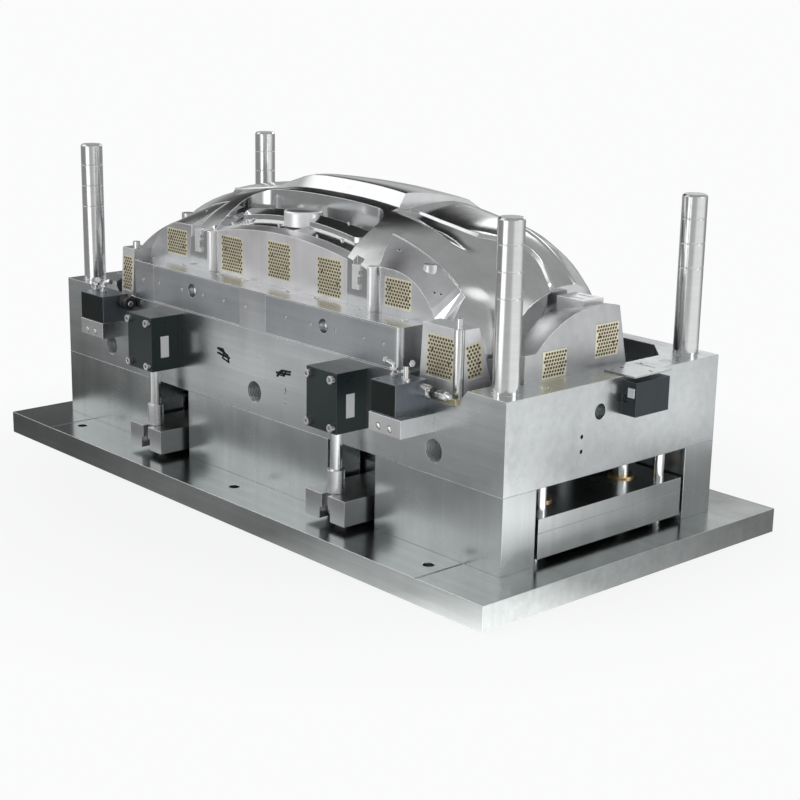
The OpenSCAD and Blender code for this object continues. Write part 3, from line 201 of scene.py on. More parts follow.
class ShaderKit:
    """The shader groups that the finishes share, each built once.

    Attributes:
        lay_scale: The density of the slow change along the grain, as a share of the fine marks'.
        edge_reach: How far from an edge its painted highlight reaches.
        edge_start: The cosine of the bend at which the line sets in.
        edge_full: The cosine of the bend at which the line is full.
        patch_scale: The density of oil patches, in patches a metre.
        streak_scale: The density of streaks.
        streak_squeeze: How the streaks are drawn out upwards.
        painted_sheen_scale: The density of the slowest change, a painted sheen that stands in for broad
            reflections of lamps.
    """

    lay_scale: float = 0.08
    edge_reach: float = 0.003
    edge_start: float = 0.995
    edge_full: float = 0.86
    patch_scale: float = 5.0
    streak_scale: float = 14.0
    streak_squeeze: Point = (1.0, 1.0, 0.16)
    painted_sheen_scale: float = 1.7

    def __init__(self) -> None:
        """Build the groups."""
        self.grind = self._build_grind()
        self.edges = self._build_edge_highlights()
        self.smudges_and_painted_sheen = self._build_smudges_and_painted_sheen()

    def _build_grind(self) -> bpy.types.NodeTree:
        """Build fine marks that vary across the grain, from a vector already scaled along it.

        Returns:
            A group with the outputs Marks and Lay, both from 0 to 1.
        """
        group = Group("grind_marks", "ShaderNodeTree")
        place = group.input("Vector", "Vector")
        group.output("Marks", "Float", group.add("ShaderNodeTexNoise", Vector=place, Scale=1.0, Detail=3.0))
        lay = group.add("ShaderNodeTexNoise", Vector=place, Scale=self.lay_scale, Detail=2.0)
        group.output("Lay", "Float", lay)
        return group.tree

    def _build_edge_highlights(self) -> bpy.types.NodeTree:
        """Build a painted highlight along machined edges, standing in for light glinting on their rounded
        corners.

        Returns:
            A group with the outputs Edge, the painted highlight from 0 to 1, and Normal, the rounded normal.
        """
        group = Group("painted_edge_highlights", "ShaderNodeTree")
        bevel = group.add("ShaderNodeBevel", samples=4, Radius=self.edge_reach)
        flat = group.add("ShaderNodeNewGeometry").outputs["Normal"]
        bend = group.add("ShaderNodeVectorMath", bevel, flat, operation="DOT_PRODUCT")
        line = group.add("ShaderNodeMapRange", Value=bend, From_Min=self.edge_start, From_Max=self.edge_full)
        group.output("Edge", "Float", line)
        group.output("Normal", "Vector", bevel)
        return group.tree

    def _build_smudges_and_painted_sheen(self) -> bpy.types.NodeTree:
        """Build the broad soft patches of oil and handling on a shop-fresh surface, and a slow painted sheen
        for lamp reflections.

        Returns:
            A group with the outputs Patch, Streak and Sheen, all from 0 to 1; Sheen stands in for broad
            reflections of lamps.
        """
        group = Group("oil_smudges_and_painted_sheen", "ShaderNodeTree")
        place = group.input("Vector", "Vector")
        drawn = group.add("ShaderNodeMapping", Vector=place, Scale=self.streak_squeeze)
        for name, where, scale, detail in (
            ("Patch", place, self.patch_scale, 4.0), ("Streak", drawn, self.streak_scale, 3.0),
            ("Sheen", place, self.painted_sheen_scale, 1.0),
        ):
            noise = group.add("ShaderNodeTexNoise", Vector=where, Scale=scale, Detail=detail)
            group.output(name, "Float", noise)
        return group.tree


@dataclass(frozen=True)
class Finish:
    """One finish of metal, paint or plastic, and how it is made.

    Attributes:
        name: The material's name.
        colour: The base colour, linear.
        metallic: 1 for bare metal and 0 for paint and plastic.
        roughness: The mean roughness.
        grain: How the fine marks run.
        marks: How far the fine marks change the colour, as a share of it.
        patches: How far the broad patches change the colour, as a share of it.
        sheen: How far a painted sheen, slow light and dark fields over half a metre that stand in for
            reflected lamps, changes the colour, as a share of it.
        edge: How far the painted highlight brightens the edges, as a share of the way to its colour.
        edge_highlight_colour: The colour of the painted highlight along the edges.
        coat: The weight of a clear coat or oil film.
        specular: How strongly paint or plastic mirrors, where 0.5 is usual.
    """

    name: str
    colour: Colour
    metallic: float = 1.0
    roughness: float = 0.3
    grain: Grain = Grain.ALONG_X
    marks: float = 0.1
    patches: float = 0.12
    sheen: float = 0.0
    edge: float = 0.5
    edge_highlight_colour: Colour = (0.86, 0.87, 0.88)
    coat: float = 0.0
    specular: float = 0.5

    def build(self, kit: ShaderKit) -> bpy.types.Material:
        """Build the material.

        Args:
            kit: The shared shader groups.

        Returns:
            The material, with its pattern on Object coordinates.
        """
        material = bpy.data.materials.new(self.name)
        material.use_nodes = True
        tree = Wiring(material.node_tree)
        place = tree.add("ShaderNodeTexCoord").outputs["Object"]
        grain = tree.add("ShaderNodeMapping", Vector=place, Scale=self.grain.value)
        marks = tree.add("ShaderNodeGroup", node_tree=kit.grind, Vector=grain).outputs
        smudges_and_painted_sheen = tree.add("ShaderNodeGroup", node_tree=kit.smudges_and_painted_sheen, Vector=place).outputs
        edges = tree.add("ShaderNodeGroup", node_tree=kit.edges).outputs
        # The sum holds the real grinding marks and oil patches, and a painted sheen of slow light and dark
        # fields that stands in for reflected lamps.
        shade = self._sum(tree, (
            (marks["Marks"], self.marks * FINE_SHARE), (marks["Lay"], self.marks),
            (smudges_and_painted_sheen["Patch"], self.patches), (smudges_and_painted_sheen["Streak"], self.patches * STREAK_SHARE),
            (smudges_and_painted_sheen["Sheen"], self.sheen),
        ))
        spread = COLOUR_SPREAD * (self.marks + self.patches + self.sheen)
        dark = tuple(c * max(DARKEST_SHARE, 1.0 - spread) for c in self.colour)
        light = tuple(min(1.0, c * (1.0 + spread)) for c in self.colour)
        tinted = tree.add("ShaderNodeMix", data_type="RGBA", Factor=shade, A=(*dark, 1.0), B=(*light, 1.0))
        # Paint a highlight along the edges into the colour, standing in for light glinting on their rounded
        # corners.
        edge_highlighted = tree.add(
            "ShaderNodeMix", data_type="RGBA", Factor=tree.math("MULTIPLY", edges["Edge"], self.edge),
            A=tinted, B=(*self.edge_highlight_colour, 1.0),
        )
        rough = tree.add(
            "ShaderNodeMapRange", Value=smudges_and_painted_sheen["Patch"], From_Min=PATCH_LOW, From_Max=PATCH_HIGH,
            To_Min=self.roughness * SMOOTHEST, To_Max=min(1.0, self.roughness * ROUGHEST),
        )
        bump = tree.add(
            "ShaderNodeBump", Height=marks["Marks"], Normal=edges["Normal"], Distance=MARK_DEPTH,
            Strength=MARK_STRENGTH,
        )
        tree.fill(
            material.node_tree.nodes["Principled BSDF"], Base_Color=edge_highlighted, Roughness=rough, Normal=bump,
            Metallic=self.metallic, Specular_IOR_Level=self.specular, Coat_Weight=self.coat,
            Coat_Roughness=COAT_ROUGHNESS,
        )
        material.diffuse_color = (*self.colour, 1.0)
        return material

    @staticmethod
    def _sum(tree: Wiring, parts: Sequence[tuple[bpy.types.NodeSocket, float]]) -> bpy.types.Node:
        """Add up weighted patterns round a middle of 0.5.

        Args:
            tree: The material's tree.
            parts: Each pattern's socket and weight.

        Returns:
            A node whose result stays near the range from 0 to 1.
        """
        total = sum(weight for _, weight in parts) or 1.0
        current: bpy.types.Node | float = PATTERN_START
        for socket, weight in parts:
            current = tree.math("MULTIPLY_ADD", socket, PATTERN_GAIN * weight / total, current)
        return current


# The edge values and edge colours set a painted highlight along each finish's edges, standing in for light
# glinting on them.
class Steel(Enum):
    """The finishes of the mould's pieces."""

    # The sheen values paint slow light and dark fields into a finish's colour, a painted sheen that stands in
    # for reflections of lamps.
    PLATE = Finish("ground_plate_steel", (0.55, 0.575, 0.58), roughness=0.27, marks=0.06, patches=0.05,
                   sheen=0.12, edge=0.6)
    CLAMP = Finish("clamp_plate_steel", (0.47, 0.495, 0.49), roughness=0.2, marks=0.07, patches=0.05,
                   sheen=0.06, edge=0.7)
    SPACER = Finish("spacer_steel", (0.51, 0.535, 0.535), roughness=0.25, grain=Grain.UPRIGHT, marks=0.035,
                    patches=0.05, sheen=0.1)
    CORE = Finish("stoned_core_steel", (0.66, 0.668, 0.672), roughness=0.15, grain=Grain.STONED, marks=0.04,
                  patches=0.06, sheen=0.06, edge=0.75)
    FACE = Finish("milled_front_face", (0.84, 0.83, 0.845), roughness=0.4, grain=Grain.UPRIGHT, marks=0.05,
                  patches=0.08, edge=0.8)
    BLOCK = Finish("milled_block_steel", (0.5, 0.505, 0.515), roughness=0.34, marks=0.07, patches=0.1,
                   edge=0.8)
    LIFTER = Finish("lifter_steel", (0.7, 0.705, 0.72), grain=Grain.STONED, marks=0.07, edge=0.9)
    BAR = Finish("parting_bar_steel", (0.56, 0.575, 0.585), roughness=0.28, marks=0.08, patches=0.08,
                 sheen=0.05, edge=0.9)
    DARK = Finish("dark_insert_steel", (0.46, 0.48, 0.5), roughness=0.36, marks=0.08, patches=0.1)
    PILLAR = Finish("ground_pillar_steel", (0.7, 0.708, 0.708), roughness=0.15, grain=Grain.TURNED,
                    marks=0.04, patches=0.04, edge=0.05)
    PIN = Finish("polished_pin_steel", (0.78, 0.785, 0.79), roughness=0.16, grain=Grain.TURNED, marks=0.03,
                 patches=0.04, edge=0.3)
    SCREW = Finish("screw_steel", (0.66, 0.66, 0.67), roughness=0.26, grain=Grain.TURNED, marks=0.06,
                   patches=0.08)
    SOCKET = Finish("screw_socket_dark", (0.02, 0.02, 0.022), roughness=0.5, grain=Grain.STONED, edge=0.1,
                    edge_highlight_colour=(0.2, 0.2, 0.2))
    BRONZE = Finish("wear_plate_bronze", (0.92, 0.81, 0.6), roughness=0.45, grain=Grain.STONED, marks=0.08,
                    edge=0.6, edge_highlight_colour=(0.95, 0.84, 0.6))
    BUSH = Finish("bush_bronze", (0.66, 0.48, 0.25), roughness=0.32, grain=Grain.TURNED, marks=0.08,
                  patches=0.1, edge=0.4, edge_highlight_colour=(0.86, 0.7, 0.42))
    BRASS = Finish("fitting_brass", (0.5, 0.45, 0.26), roughness=0.35, grain=Grain.STONED, marks=0.08,
                   patches=0.1)
    GRAPHITE = Finish("graphite_plug", (0.105, 0.08, 0.058), metallic=0.0, roughness=0.6, grain=Grain.MOULDED,
                      marks=0.2, patches=0.1, edge=0.0)
    CYLINDER = Finish("cylinder_paint", (0.01, 0.019, 0.02), metallic=0.0, roughness=0.28, specular=0.3,
                      grain=Grain.MOULDED, patches=0.2, edge=0.4, edge_highlight_colour=(0.2, 0.24, 0.26), coat=0.2)
    POST = Finish("satin_pin_steel", (0.86, 0.865, 0.87), metallic=0.7, roughness=0.34, grain=Grain.TURNED,
                  marks=0.03, patches=0.04, edge=0.3)
    CORNER = Finish("corner_block_steel", (0.8, 0.805, 0.815), metallic=0.9, roughness=0.42,
                    grain=Grain.STONED, marks=0.05, patches=0.1, edge=0.8)
    BOX = Finish("box_casing", (0.19, 0.215, 0.24), metallic=0.75, roughness=0.34, grain=Grain.STONED,
                 marks=0.08, patches=0.14, edge_highlight_colour=(0.4, 0.42, 0.45))
    JUNCTION = Finish("junction_casing", (0.014, 0.023, 0.027), metallic=0.0, roughness=0.34, specular=0.3,
                      grain=Grain.MOULDED, patches=0.2, edge_highlight_colour=(0.2, 0.23, 0.25), coat=0.1)
    PANEL = Finish("black_front_panel", (0.006, 0.01, 0.009), metallic=0.0, specular=0.2, grain=Grain.MOULDED,
                   marks=0.12, patches=0.2, edge=0.2, edge_highlight_colour=(0.08, 0.09, 0.09))
    RUBBER = Finish("connector_black", (0.012, 0.012, 0.013), metallic=0.0, roughness=0.45,
                    grain=Grain.MOULDED, marks=0.2, patches=0.1, edge=0.2, edge_highlight_colour=(0.08, 0.08, 0.08))
    BRACKET = Finish("bracket_steel", (0.74, 0.745, 0.75), roughness=0.28, marks=0.06, patches=0.08, edge=0.6)
    LABEL = Finish("blank_label_plate", (0.78, 0.79, 0.79), metallic=0.0, roughness=0.4, grain=Grain.STONED,
                   marks=0.04, patches=0.05, edge=0.1)


class Paints:
    """The built materials, one for each finish that is asked for."""

    def __init__(self) -> None:
        """Build the shared groups."""
        self._kit = ShaderKit()
        self._built: dict[str, bpy.types.Material] = {}

    def get(self, steel: Steel) -> bpy.types.Material:
        """Return a finish's material, built at its first use."""
        if steel.name not in self._built:
            self._built[steel.name] = steel.value.build(self._kit)
        return self._built[steel.name]

    def dress(self, obj: bpy.types.Object, steel: Steel) -> None:
        """Give every material slot of an object one finish."""
        if not obj.material_slots:
            obj.data.materials.append(self.get(steel))
            return
        for slot in obj.material_slots:
            slot.material = self.get(steel)


# Meshes


class Lathe:
    """Turned and prismatic solids, gathered into one mesh."""

    def __init__(self) -> None:
        """Start with an empty mesh."""
        self.mesh = bmesh.new()

    def turned(self, place: Matrix, profile: Profile, sides: int = 32) -> None:
        """Add a closed turned solid.

        Args:
            place: The solid's place, its axis along the local Z.
            profile: Radius and height of each ring, from the bottom to the top.
            sides: The number of sides.
        """
        angles = [2 * math.pi * i / sides for i in range(sides)]
        self._stack([
            [place @ Vector((radius * math.cos(a), radius * math.sin(a), height)) for a in angles]
            for radius, height in profile
        ])

    def block(self, low: Vector, high: Vector, chamfer: float, place: Matrix | None = None) -> None:
        """Add a block with chamfered upright edges and rims.

        Args:
            low: The lowest corner.
            high: The highest corner.
            chamfer: The width of the chamfers.
            place: A place for the block, or None for the frame's own.
        """
        at = place or Matrix.Identity(4)
        c = chamfer
        rings = []
        for z, inset in ((low.z, c), (low.z + c, 0.0), (high.z - c, 0.0), (high.z, c)):
            x0, x1, y0, y1 = low.x + inset, high.x - inset, low.y + inset, high.y - inset
            outline = (
                (x0 + c, y0), (x1 - c, y0), (x1, y0 + c), (x1, y1 - c),
                (x1 - c, y1), (x0 + c, y1), (x0, y1 - c), (x0, y0 + c),
            )
            rings.append([at @ Vector((x, y, z)) for x, y in outline])
        self._stack(rings)

    def _stack(self, rings: Sequence[Sequence[Vector]]) -> None:
        """Join rings of points, from the bottom to the top, into a closed solid."""
        made = [[self.mesh.verts.new(point) for point in ring] for ring in rings]
        for low, high in zip(made, made[1:]):
            for i in range(len(low)):
                j = (i + 1) % len(low)
                self.mesh.faces.new((low[i], low[j], high[j], high[i]))
        self.mesh.faces.new(list(reversed(made[0])))
        self.mesh.faces.new(made[-1])

    def finish(self, name: str) -> bpy.types.Object:
        """Turn the gathered solids into an object at the origin, smooth between its sharp edges.

        Args:
            name: The object's name.

        Returns:
            The object.
        """
        bmesh.ops.recalc_face_normals(self.mesh, faces=self.mesh.faces)
        obj = as_object(self.mesh, name)
        shade_by_angle(obj, LATHE_ANGLE)
        return obj


def as_object(mesh: bmesh.types.BMesh, name: str) -> bpy.types.Object:
    """Turn a finished mesh into an object of the same name and free it."""
    data = bpy.data.meshes.new(name)
    mesh.to_mesh(data)
    mesh.free()
    return link(bpy.data.objects.new(name, data))


def shade_by_angle(obj: bpy.types.Object, degrees: float) -> None:
    """Shade a mesh smoothly except across edges sharper than an angle.

    Args:
        obj: The mesh object.
        degrees: The angle, in degrees.
    """
    limit = math.radians(degrees)
    mesh = bmesh.new()
    mesh.from_mesh(obj.data)
    for face in mesh.faces:
        face.smooth = True
    for edge in mesh.edges:
        edge.smooth = len(edge.link_faces) == 2 and edge.calc_face_angle(0.0) < limit
    mesh.to_mesh(obj.data)
    mesh.free()


def facing(origin: Vector, outward: Vector, upward: Vector) -> Matrix:
    """Return a place whose local Z points outwards and whose local Y points upwards.

    Args:
        origin: The place's origin.
        outward: The direction of the local Z.
        upward: A direction near the local Y.

    Returns:
        The matrix of the place.
    """
    z = outward.normalized()
    x = upward.cross(z).normalized()
    y = z.cross(x)
    turn = Matrix((x, y, z)).transposed().to_4x4()
    return Matrix.Translation(origin) @ turn


# Geometry Nodes


class NodeSheet(Group):
    """A Geometry Nodes tree under construction."""

    def __init__(self, name: str) -> None:
        """Start a tree with a geometry input."""
        super().__init__(name, "GeometryNodeTree")
        self.given = self.input("Geometry", "Geometry")

    def inputs(self, **kinds: str) -> list[bpy.types.NodeSocket]:
        """Add several inputs by name and kind and return their sockets."""
        return [self.input(name, kind) for name, kind in kinds.items()]

    def close(self, geometry: bpy.types.Node, material: bpy.types.NodeSocket) -> bpy.types.NodeTree:
        """End the tree in Realize Instances and Set Material.

        Args:
            geometry: The node that carries the made geometry.
            material: The socket that carries the material.

        Returns:
            The finished tree.
        """
        real = self.add("GeometryNodeRealizeInstances", Geometry=geometry)
        dressed = self.add("GeometryNodeSetMaterial", Geometry=real, Material=material)
        self.output("Geometry", "Geometry", dressed)
        return self.tree


def grown(
    tree: bpy.types.NodeTree, name: str, seed_mesh: bpy.types.Mesh | None, **values: object
) -> bpy.types.Object:
    """Run a Geometry Nodes tree once and keep its result as a plain mesh object.

    Args:
        tree: The tree.
        name: The new object's name.
        seed_mesh: The mesh that the tree starts from, or None for an empty one.
        values: Each named input's value.

    Returns:
        The object, with no modifier.
    """
    host = link(bpy.data.objects.new(name + "_host", seed_mesh or bpy.data.meshes.new(name + "_seed")))
    modifier = host.modifiers.new("grow", "NODES")
    modifier.node_group = tree
    for item in tree.interface.items_tree:
        if getattr(item, "in_out", "") == "INPUT" and item.name in values:
            modifier[item.identifier] = values[item.name]
    graph = bpy.context.evaluated_depsgraph_get()
    graph.update()
    data = bpy.data.meshes.new_from_object(host.evaluated_get(graph), depsgraph=graph)
    host.modifiers.remove(modifier)
    bpy.data.objects.remove(host)
    data.name = name
    return link(bpy.data.objects.new(name, data))


class Repeats:
    """The Geometry Nodes trees for what repeats on the mould."""

    def __init__(self) -> None:
        """Build the trees."""
        self.plugs = self._build_plugs()
        self.rings = self._build_rings()
        self.sweep = self._build_sweep()

    @staticmethod
    def _build_plugs() -> bpy.types.NodeTree:
        """Build a staggered field of graphite plugs on one plate.

        Returns:
            A tree whose plugs lie round the origin of the XY plane, then take the plate's place.
        """
        sheet = NodeSheet("graphite_plugs")
        columns, rows, width, height, radius, proud, skew, place, turn, material = sheet.inputs(
            Columns="Int", Rows="Int", Width="Float", Height="Float", Radius="Float", Proud="Float",
            Skew="Float", Place="Vector", Turn="Vector", Material="Material",
        )
        grid = sheet.add(
            "GeometryNodeMeshGrid", Size_X=width, Size_Y=height, Vertices_X=columns, Vertices_Y=rows
        )
        row = sheet.math("MODULO", sheet.add("GeometryNodeInputIndex"), rows)
        share = sheet.math("FRACT", sheet.math("MULTIPLY", row, skew))
        gap = sheet.math("DIVIDE", width, sheet.math("SUBTRACT", columns, 1.0))
        side = sheet.math("MULTIPLY", sheet.math("SUBTRACT", share, 0.3), gap)
        offset = sheet.add("ShaderNodeCombineXYZ", X=side)
        moved = sheet.add("GeometryNodeSetPosition", Geometry=grid, Offset=offset)
        depth = sheet.math("MULTIPLY", proud, 2.0)
        plug = sheet.add("GeometryNodeMeshCylinder", Vertices=12, Radius=radius, Depth=depth)
        many = sheet.add("GeometryNodeInstanceOnPoints", Points=moved, Instance=plug)
        placed = sheet.add("GeometryNodeTransform", Geometry=many, Translation=place, Rotation=turn)
        return sheet.close(placed, material)

    @staticmethod
    def _build_rings() -> bpy.types.NodeTree:
        """Build a row of thin rings along an axis, for threads.

        Returns:
            A tree whose rings start at the origin and run along the local Z.
        """
        sheet = NodeSheet("thread_rings")
        count, pitch, radius, wire, place, turn, material = sheet.inputs(
            Count="Int", Pitch="Float", Radius="Float", Wire="Float", Place="Vector", Turn="Vector",
            Material="Material",
        )
        step = sheet.add("ShaderNodeCombineXYZ", Z=pitch)
        line = sheet.add("GeometryNodeMeshLine", Count=count, Offset=step)
        circle = sheet.add("GeometryNodeCurvePrimitiveCircle", Radius=radius, Resolution=40)
        profile = sheet.add("GeometryNodeCurvePrimitiveCircle", Radius=wire, Resolution=6)
        ring = sheet.add("GeometryNodeCurveToMesh", Curve=circle, Profile_Curve=profile)
        row = sheet.add("GeometryNodeInstanceOnPoints", Points=line, Instance=ring)
        placed = sheet.add("GeometryNodeTransform", Geometry=row, Translation=place, Rotation=turn)
        return sheet.close(placed, material)

    @staticmethod
    def _build_sweep() -> bpy.types.NodeTree:
        """Build a round bead that follows the edges of the mesh it is given.

        Returns:
            A tree that turns a chain of edges into a closed bead.
        """
        sheet = NodeSheet("swept_bead")
        radius, sides, material = sheet.inputs(Radius="Float", Sides="Int", Material="Material")
        path = sheet.add("GeometryNodeMeshToCurve", Mesh=sheet.given)
        profile = sheet.add("GeometryNodeCurvePrimitiveCircle", Radius=radius, Resolution=sides)
        bead = sheet.add("GeometryNodeCurveToMesh", Curve=path, Profile_Curve=profile, Fill_Caps=True)
        return sheet.close(bead, material)


@dataclass
class Shop:
    """What every sub-assembly needs: the frame, the finishes and the repeating trees.

    Attributes:
        nodes: The CAD nodes by name.
        paints: The finishes.
        repeats: The Geometry Nodes trees.
        made: The names of the pieces made so far.
    """

    nodes: dict[str, bpy.types.Object]
    paints: Paints
    repeats: Repeats
    made: list[str] = field(default_factory=list)

    def dress(self, steel: Steel, *names: str) -> None:
        """Give CAD nodes a finish."""
        for name in names:
            self.paints.dress(self.nodes[name], steel)

    def keep(self, obj: bpy.types.Object, steel: Steel, body: Body) -> bpy.types.Object:
        """Dress a new piece and fix it to its body.

        Args:
            obj: The piece.
            steel: Its finish.
            body: The body that it rides on.

        Returns:
            The piece.
        """
        self.paints.dress(obj, steel)
        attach(obj, body.value)
        self.made.append(obj.name)
        LOG.info("%s rides on %s, %d faces", obj.name, body.value, len(obj.data.polygons))
        return obj

    def keep_swept(self, paths: Sequence[Sequence[Vector]], radius: float, name: str, steel: Steel,
                   sides: int) -> None:
        """Sweep round beads or tubes along chains of points with the sweep tree, and fix them to the half.

        Args:
            paths: The chains of points.
            radius: The radius of the beads.
            name: The name of the result.
            steel: The finish.
            sides: The number of sides of each bead.
        """
        chains = bpy.data.meshes.new(name + "_paths")
        points = [point for path in paths for point in path]
        edges, start = [], 0
        for path in paths:
            edges += [(start + i, start + i + 1) for i in range(len(path) - 1)]
            start += len(path)
        chains.from_pydata(points, edges, [])
        beads = grown(
            self.repeats.sweep, name, chains, Radius=radius, Sides=sides, Material=self.paints.get(steel)
        )
        shade_by_angle(beads, BEAD_ANGLE)
        self.keep(beads, steel, Body.HALF)

    def smooth_twin(self, node: str, steel: Steel, body: Body) -> None:
        """Stand a merged, smoothly shaded copy in for a node whose curved faces are loose triangles.

        Args:
            node: The CAD node.
            steel: The copy's finish.
            body: The body that it rides on.
        """
        mesh = bmesh.new()
        mesh.from_mesh(self.nodes[node].data)
        bmesh.ops.remove_doubles(mesh, verts=mesh.verts, dist=0.00001)
        data = self.nodes[node].data.copy()
        mesh.to_mesh(data)
        mesh.free()
        twin = link(bpy.data.objects.new(node + "_surface", data))
        shade_by_angle(twin, SKIN_ANGLE)
        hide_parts(node)
        self.keep(twin, steel, body)


def joined(parts: Sequence[bpy.types.Object], name: str) -> bpy.types.Object:
    """Join mesh objects that all sit at the origin into one.

    Args:
        parts: The objects.
        name: The name of the result.

    Returns:
        The joined object.
    """
    mesh = bmesh.new()
    for part in parts:
        mesh.from_mesh(part.data)
        bpy.data.objects.remove(part)
    return as_object(mesh, name)


def socket_screws(
    places: Iterable[Matrix], radius: float, height: float, name: str, shop: Shop, body: Body
) -> None:
    """Build cap screw heads and their dark hexagon sockets at given places.

    Args:
        places: Each head's seat, its local Z pointing out of the surface.
        radius: The head's radius.
        height: The head's height.
        name: The name of the heads, and the start of the sockets' name.
        shop: The shared frame and finishes.
        body: The body that they ride on.
    """
    heads, sockets = Lathe(), Lathe()
    c = radius * 0.12
    socket_r = radius * 0.52
    lift = Matrix.Translation((0.0, 0.0, height))
    head = [(radius * 0.98, 0.0), (radius, c), (radius, height - c), (radius - c, height)]
    for place in places:
        heads.turned(place, head, 24)
        sockets.turned(place @ lift, [(socket_r, -0.0004), (socket_r, 0.0003)], 6)
    shop.keep(heads.finish(name), Steel.SCREW, body)
    shop.keep(sockets.finish(name + "_sockets"), Steel.SOCKET, body)


class Skin:
    """A way to find points and outward directions on a CAD surface from above."""

    def __init__(self, obj: bpy.types.Object) -> None:
        """Index an object's faces.

        Args:
            obj: The object, at the origin.
        """
        polygons = [tuple(face.vertices) for face in obj.data.polygons]
        self._tree = BVHTree.FromPolygons([vert.co.copy() for vert in obj.data.vertices], polygons)

    def at(self, x: float, y: float) -> tuple[Vector, Vector]:
        """Return the surface point under a place given in millimetres, and the way out of the surface."""
        above = 2000.0
        place, normal, _, _ = self._tree.ray_cast(mm(x, y, above), -UP)
        if place is None or normal is None:
            raise ValueError(f"nothing lies under {x}, {y}")
        return place, normal if normal.z > 0 else -normal


# Sub-assemblies


@dataclass
class PlateStack:
    """The clamp plate, spacer blocks, core plate and their screws.

    Attributes:
        lift_xs: The lifting holes' places along the mould.
        lift_z: The lifting holes' height.
        lift_r: The lifting holes' radius.
        face_y: The distance of the front and rear faces from the middle.
        turns: The number of thread turns that show in a lifting hole.
        pitch: The distance between the turns.
        wire: The radius of a turn's round edge.
        inset: How deep behind the face the first turn lies.
    """

    lift_xs: tuple[float, ...] = (-0.878, 0.0, 0.878)
    lift_z: float = 0.395
    lift_r: float = 0.036
    face_y: float = 0.48
    turns: int = 13
    pitch: float = 0.0062
    wire: float = 0.0017
    inset: float = 0.006

    def build(self, shop: Shop) -> None:
        """Dress the plates, put thread turns into the lifting holes and mark the front face."""
        shop.dress(Steel.CLAMP, "clamp_plate")
        shop.dress(Steel.PLATE, "core_plate")
        for part in ("left", "middle", "right"):
            shop.dress(Steel.SPACER, f"spacer_front_{part}", f"spacer_rear_{part}")
        shop.dress(Steel.SCREW, "plate_screws")
        shop.dress(Steel.BLOCK, "support_pillars")
        self._threads(shop)
        self._marks(shop)

    def _marks(self, shop: Shop) -> None:
        """Lay the look of two punched marks and a short row of small cap screws on the front face."""
        left = [(-206, 508), (-178, 509), (-170, 500), (-178, 478), (-144, 469), (-150, 492), (-206, 508)]
        right = [(124, 474), (138, 492), (170, 500), (160, 482), (128, 480), (148, 498), (194, 501)]
        bars = [[(-206, 492), (-140, 484)], [(120, 486), (192, 492)]]
        paths = [[mm(x, 0, z) + self.face_y * FRONT for x, z in points] for points in (left, right, *bars)]
        shop.keep_swept(paths, 0.0038, "punched_marks", Steel.SOCKET, 6)
        sunk = Matrix.Translation(mm(0, 0, -0.6))
        places = [facing(mm(168, 0, z) + self.face_y * FRONT, FRONT, UP) @ sunk for z in (441, 426, 409, 392)]
        socket_screws(places, 0.0046, 0.0014, "face_screws", shop, Body.HALF)

    def _threads(self, shop: Shop) -> None:
        """Build the threads of the lifting holes with the ring tree."""
        rings = []
        for i, x in enumerate(self.lift_xs):
            for side in (-1, 1):
                rings.append(grown(
                    shop.repeats.rings, f"thread_{i}_{side}", None, Count=self.turns, Pitch=self.pitch,
                    Radius=self.lift_r, Wire=self.wire,
                    Place=(x, side * (self.face_y - self.inset), self.lift_z),
                    Turn=(math.radians(90 * side), 0.0, 0.0), Material=shop.paints.get(Steel.BLOCK),
                ))
        shop.keep(joined(rings, "lifting_hole_threads"), Steel.BLOCK, Body.HALF)


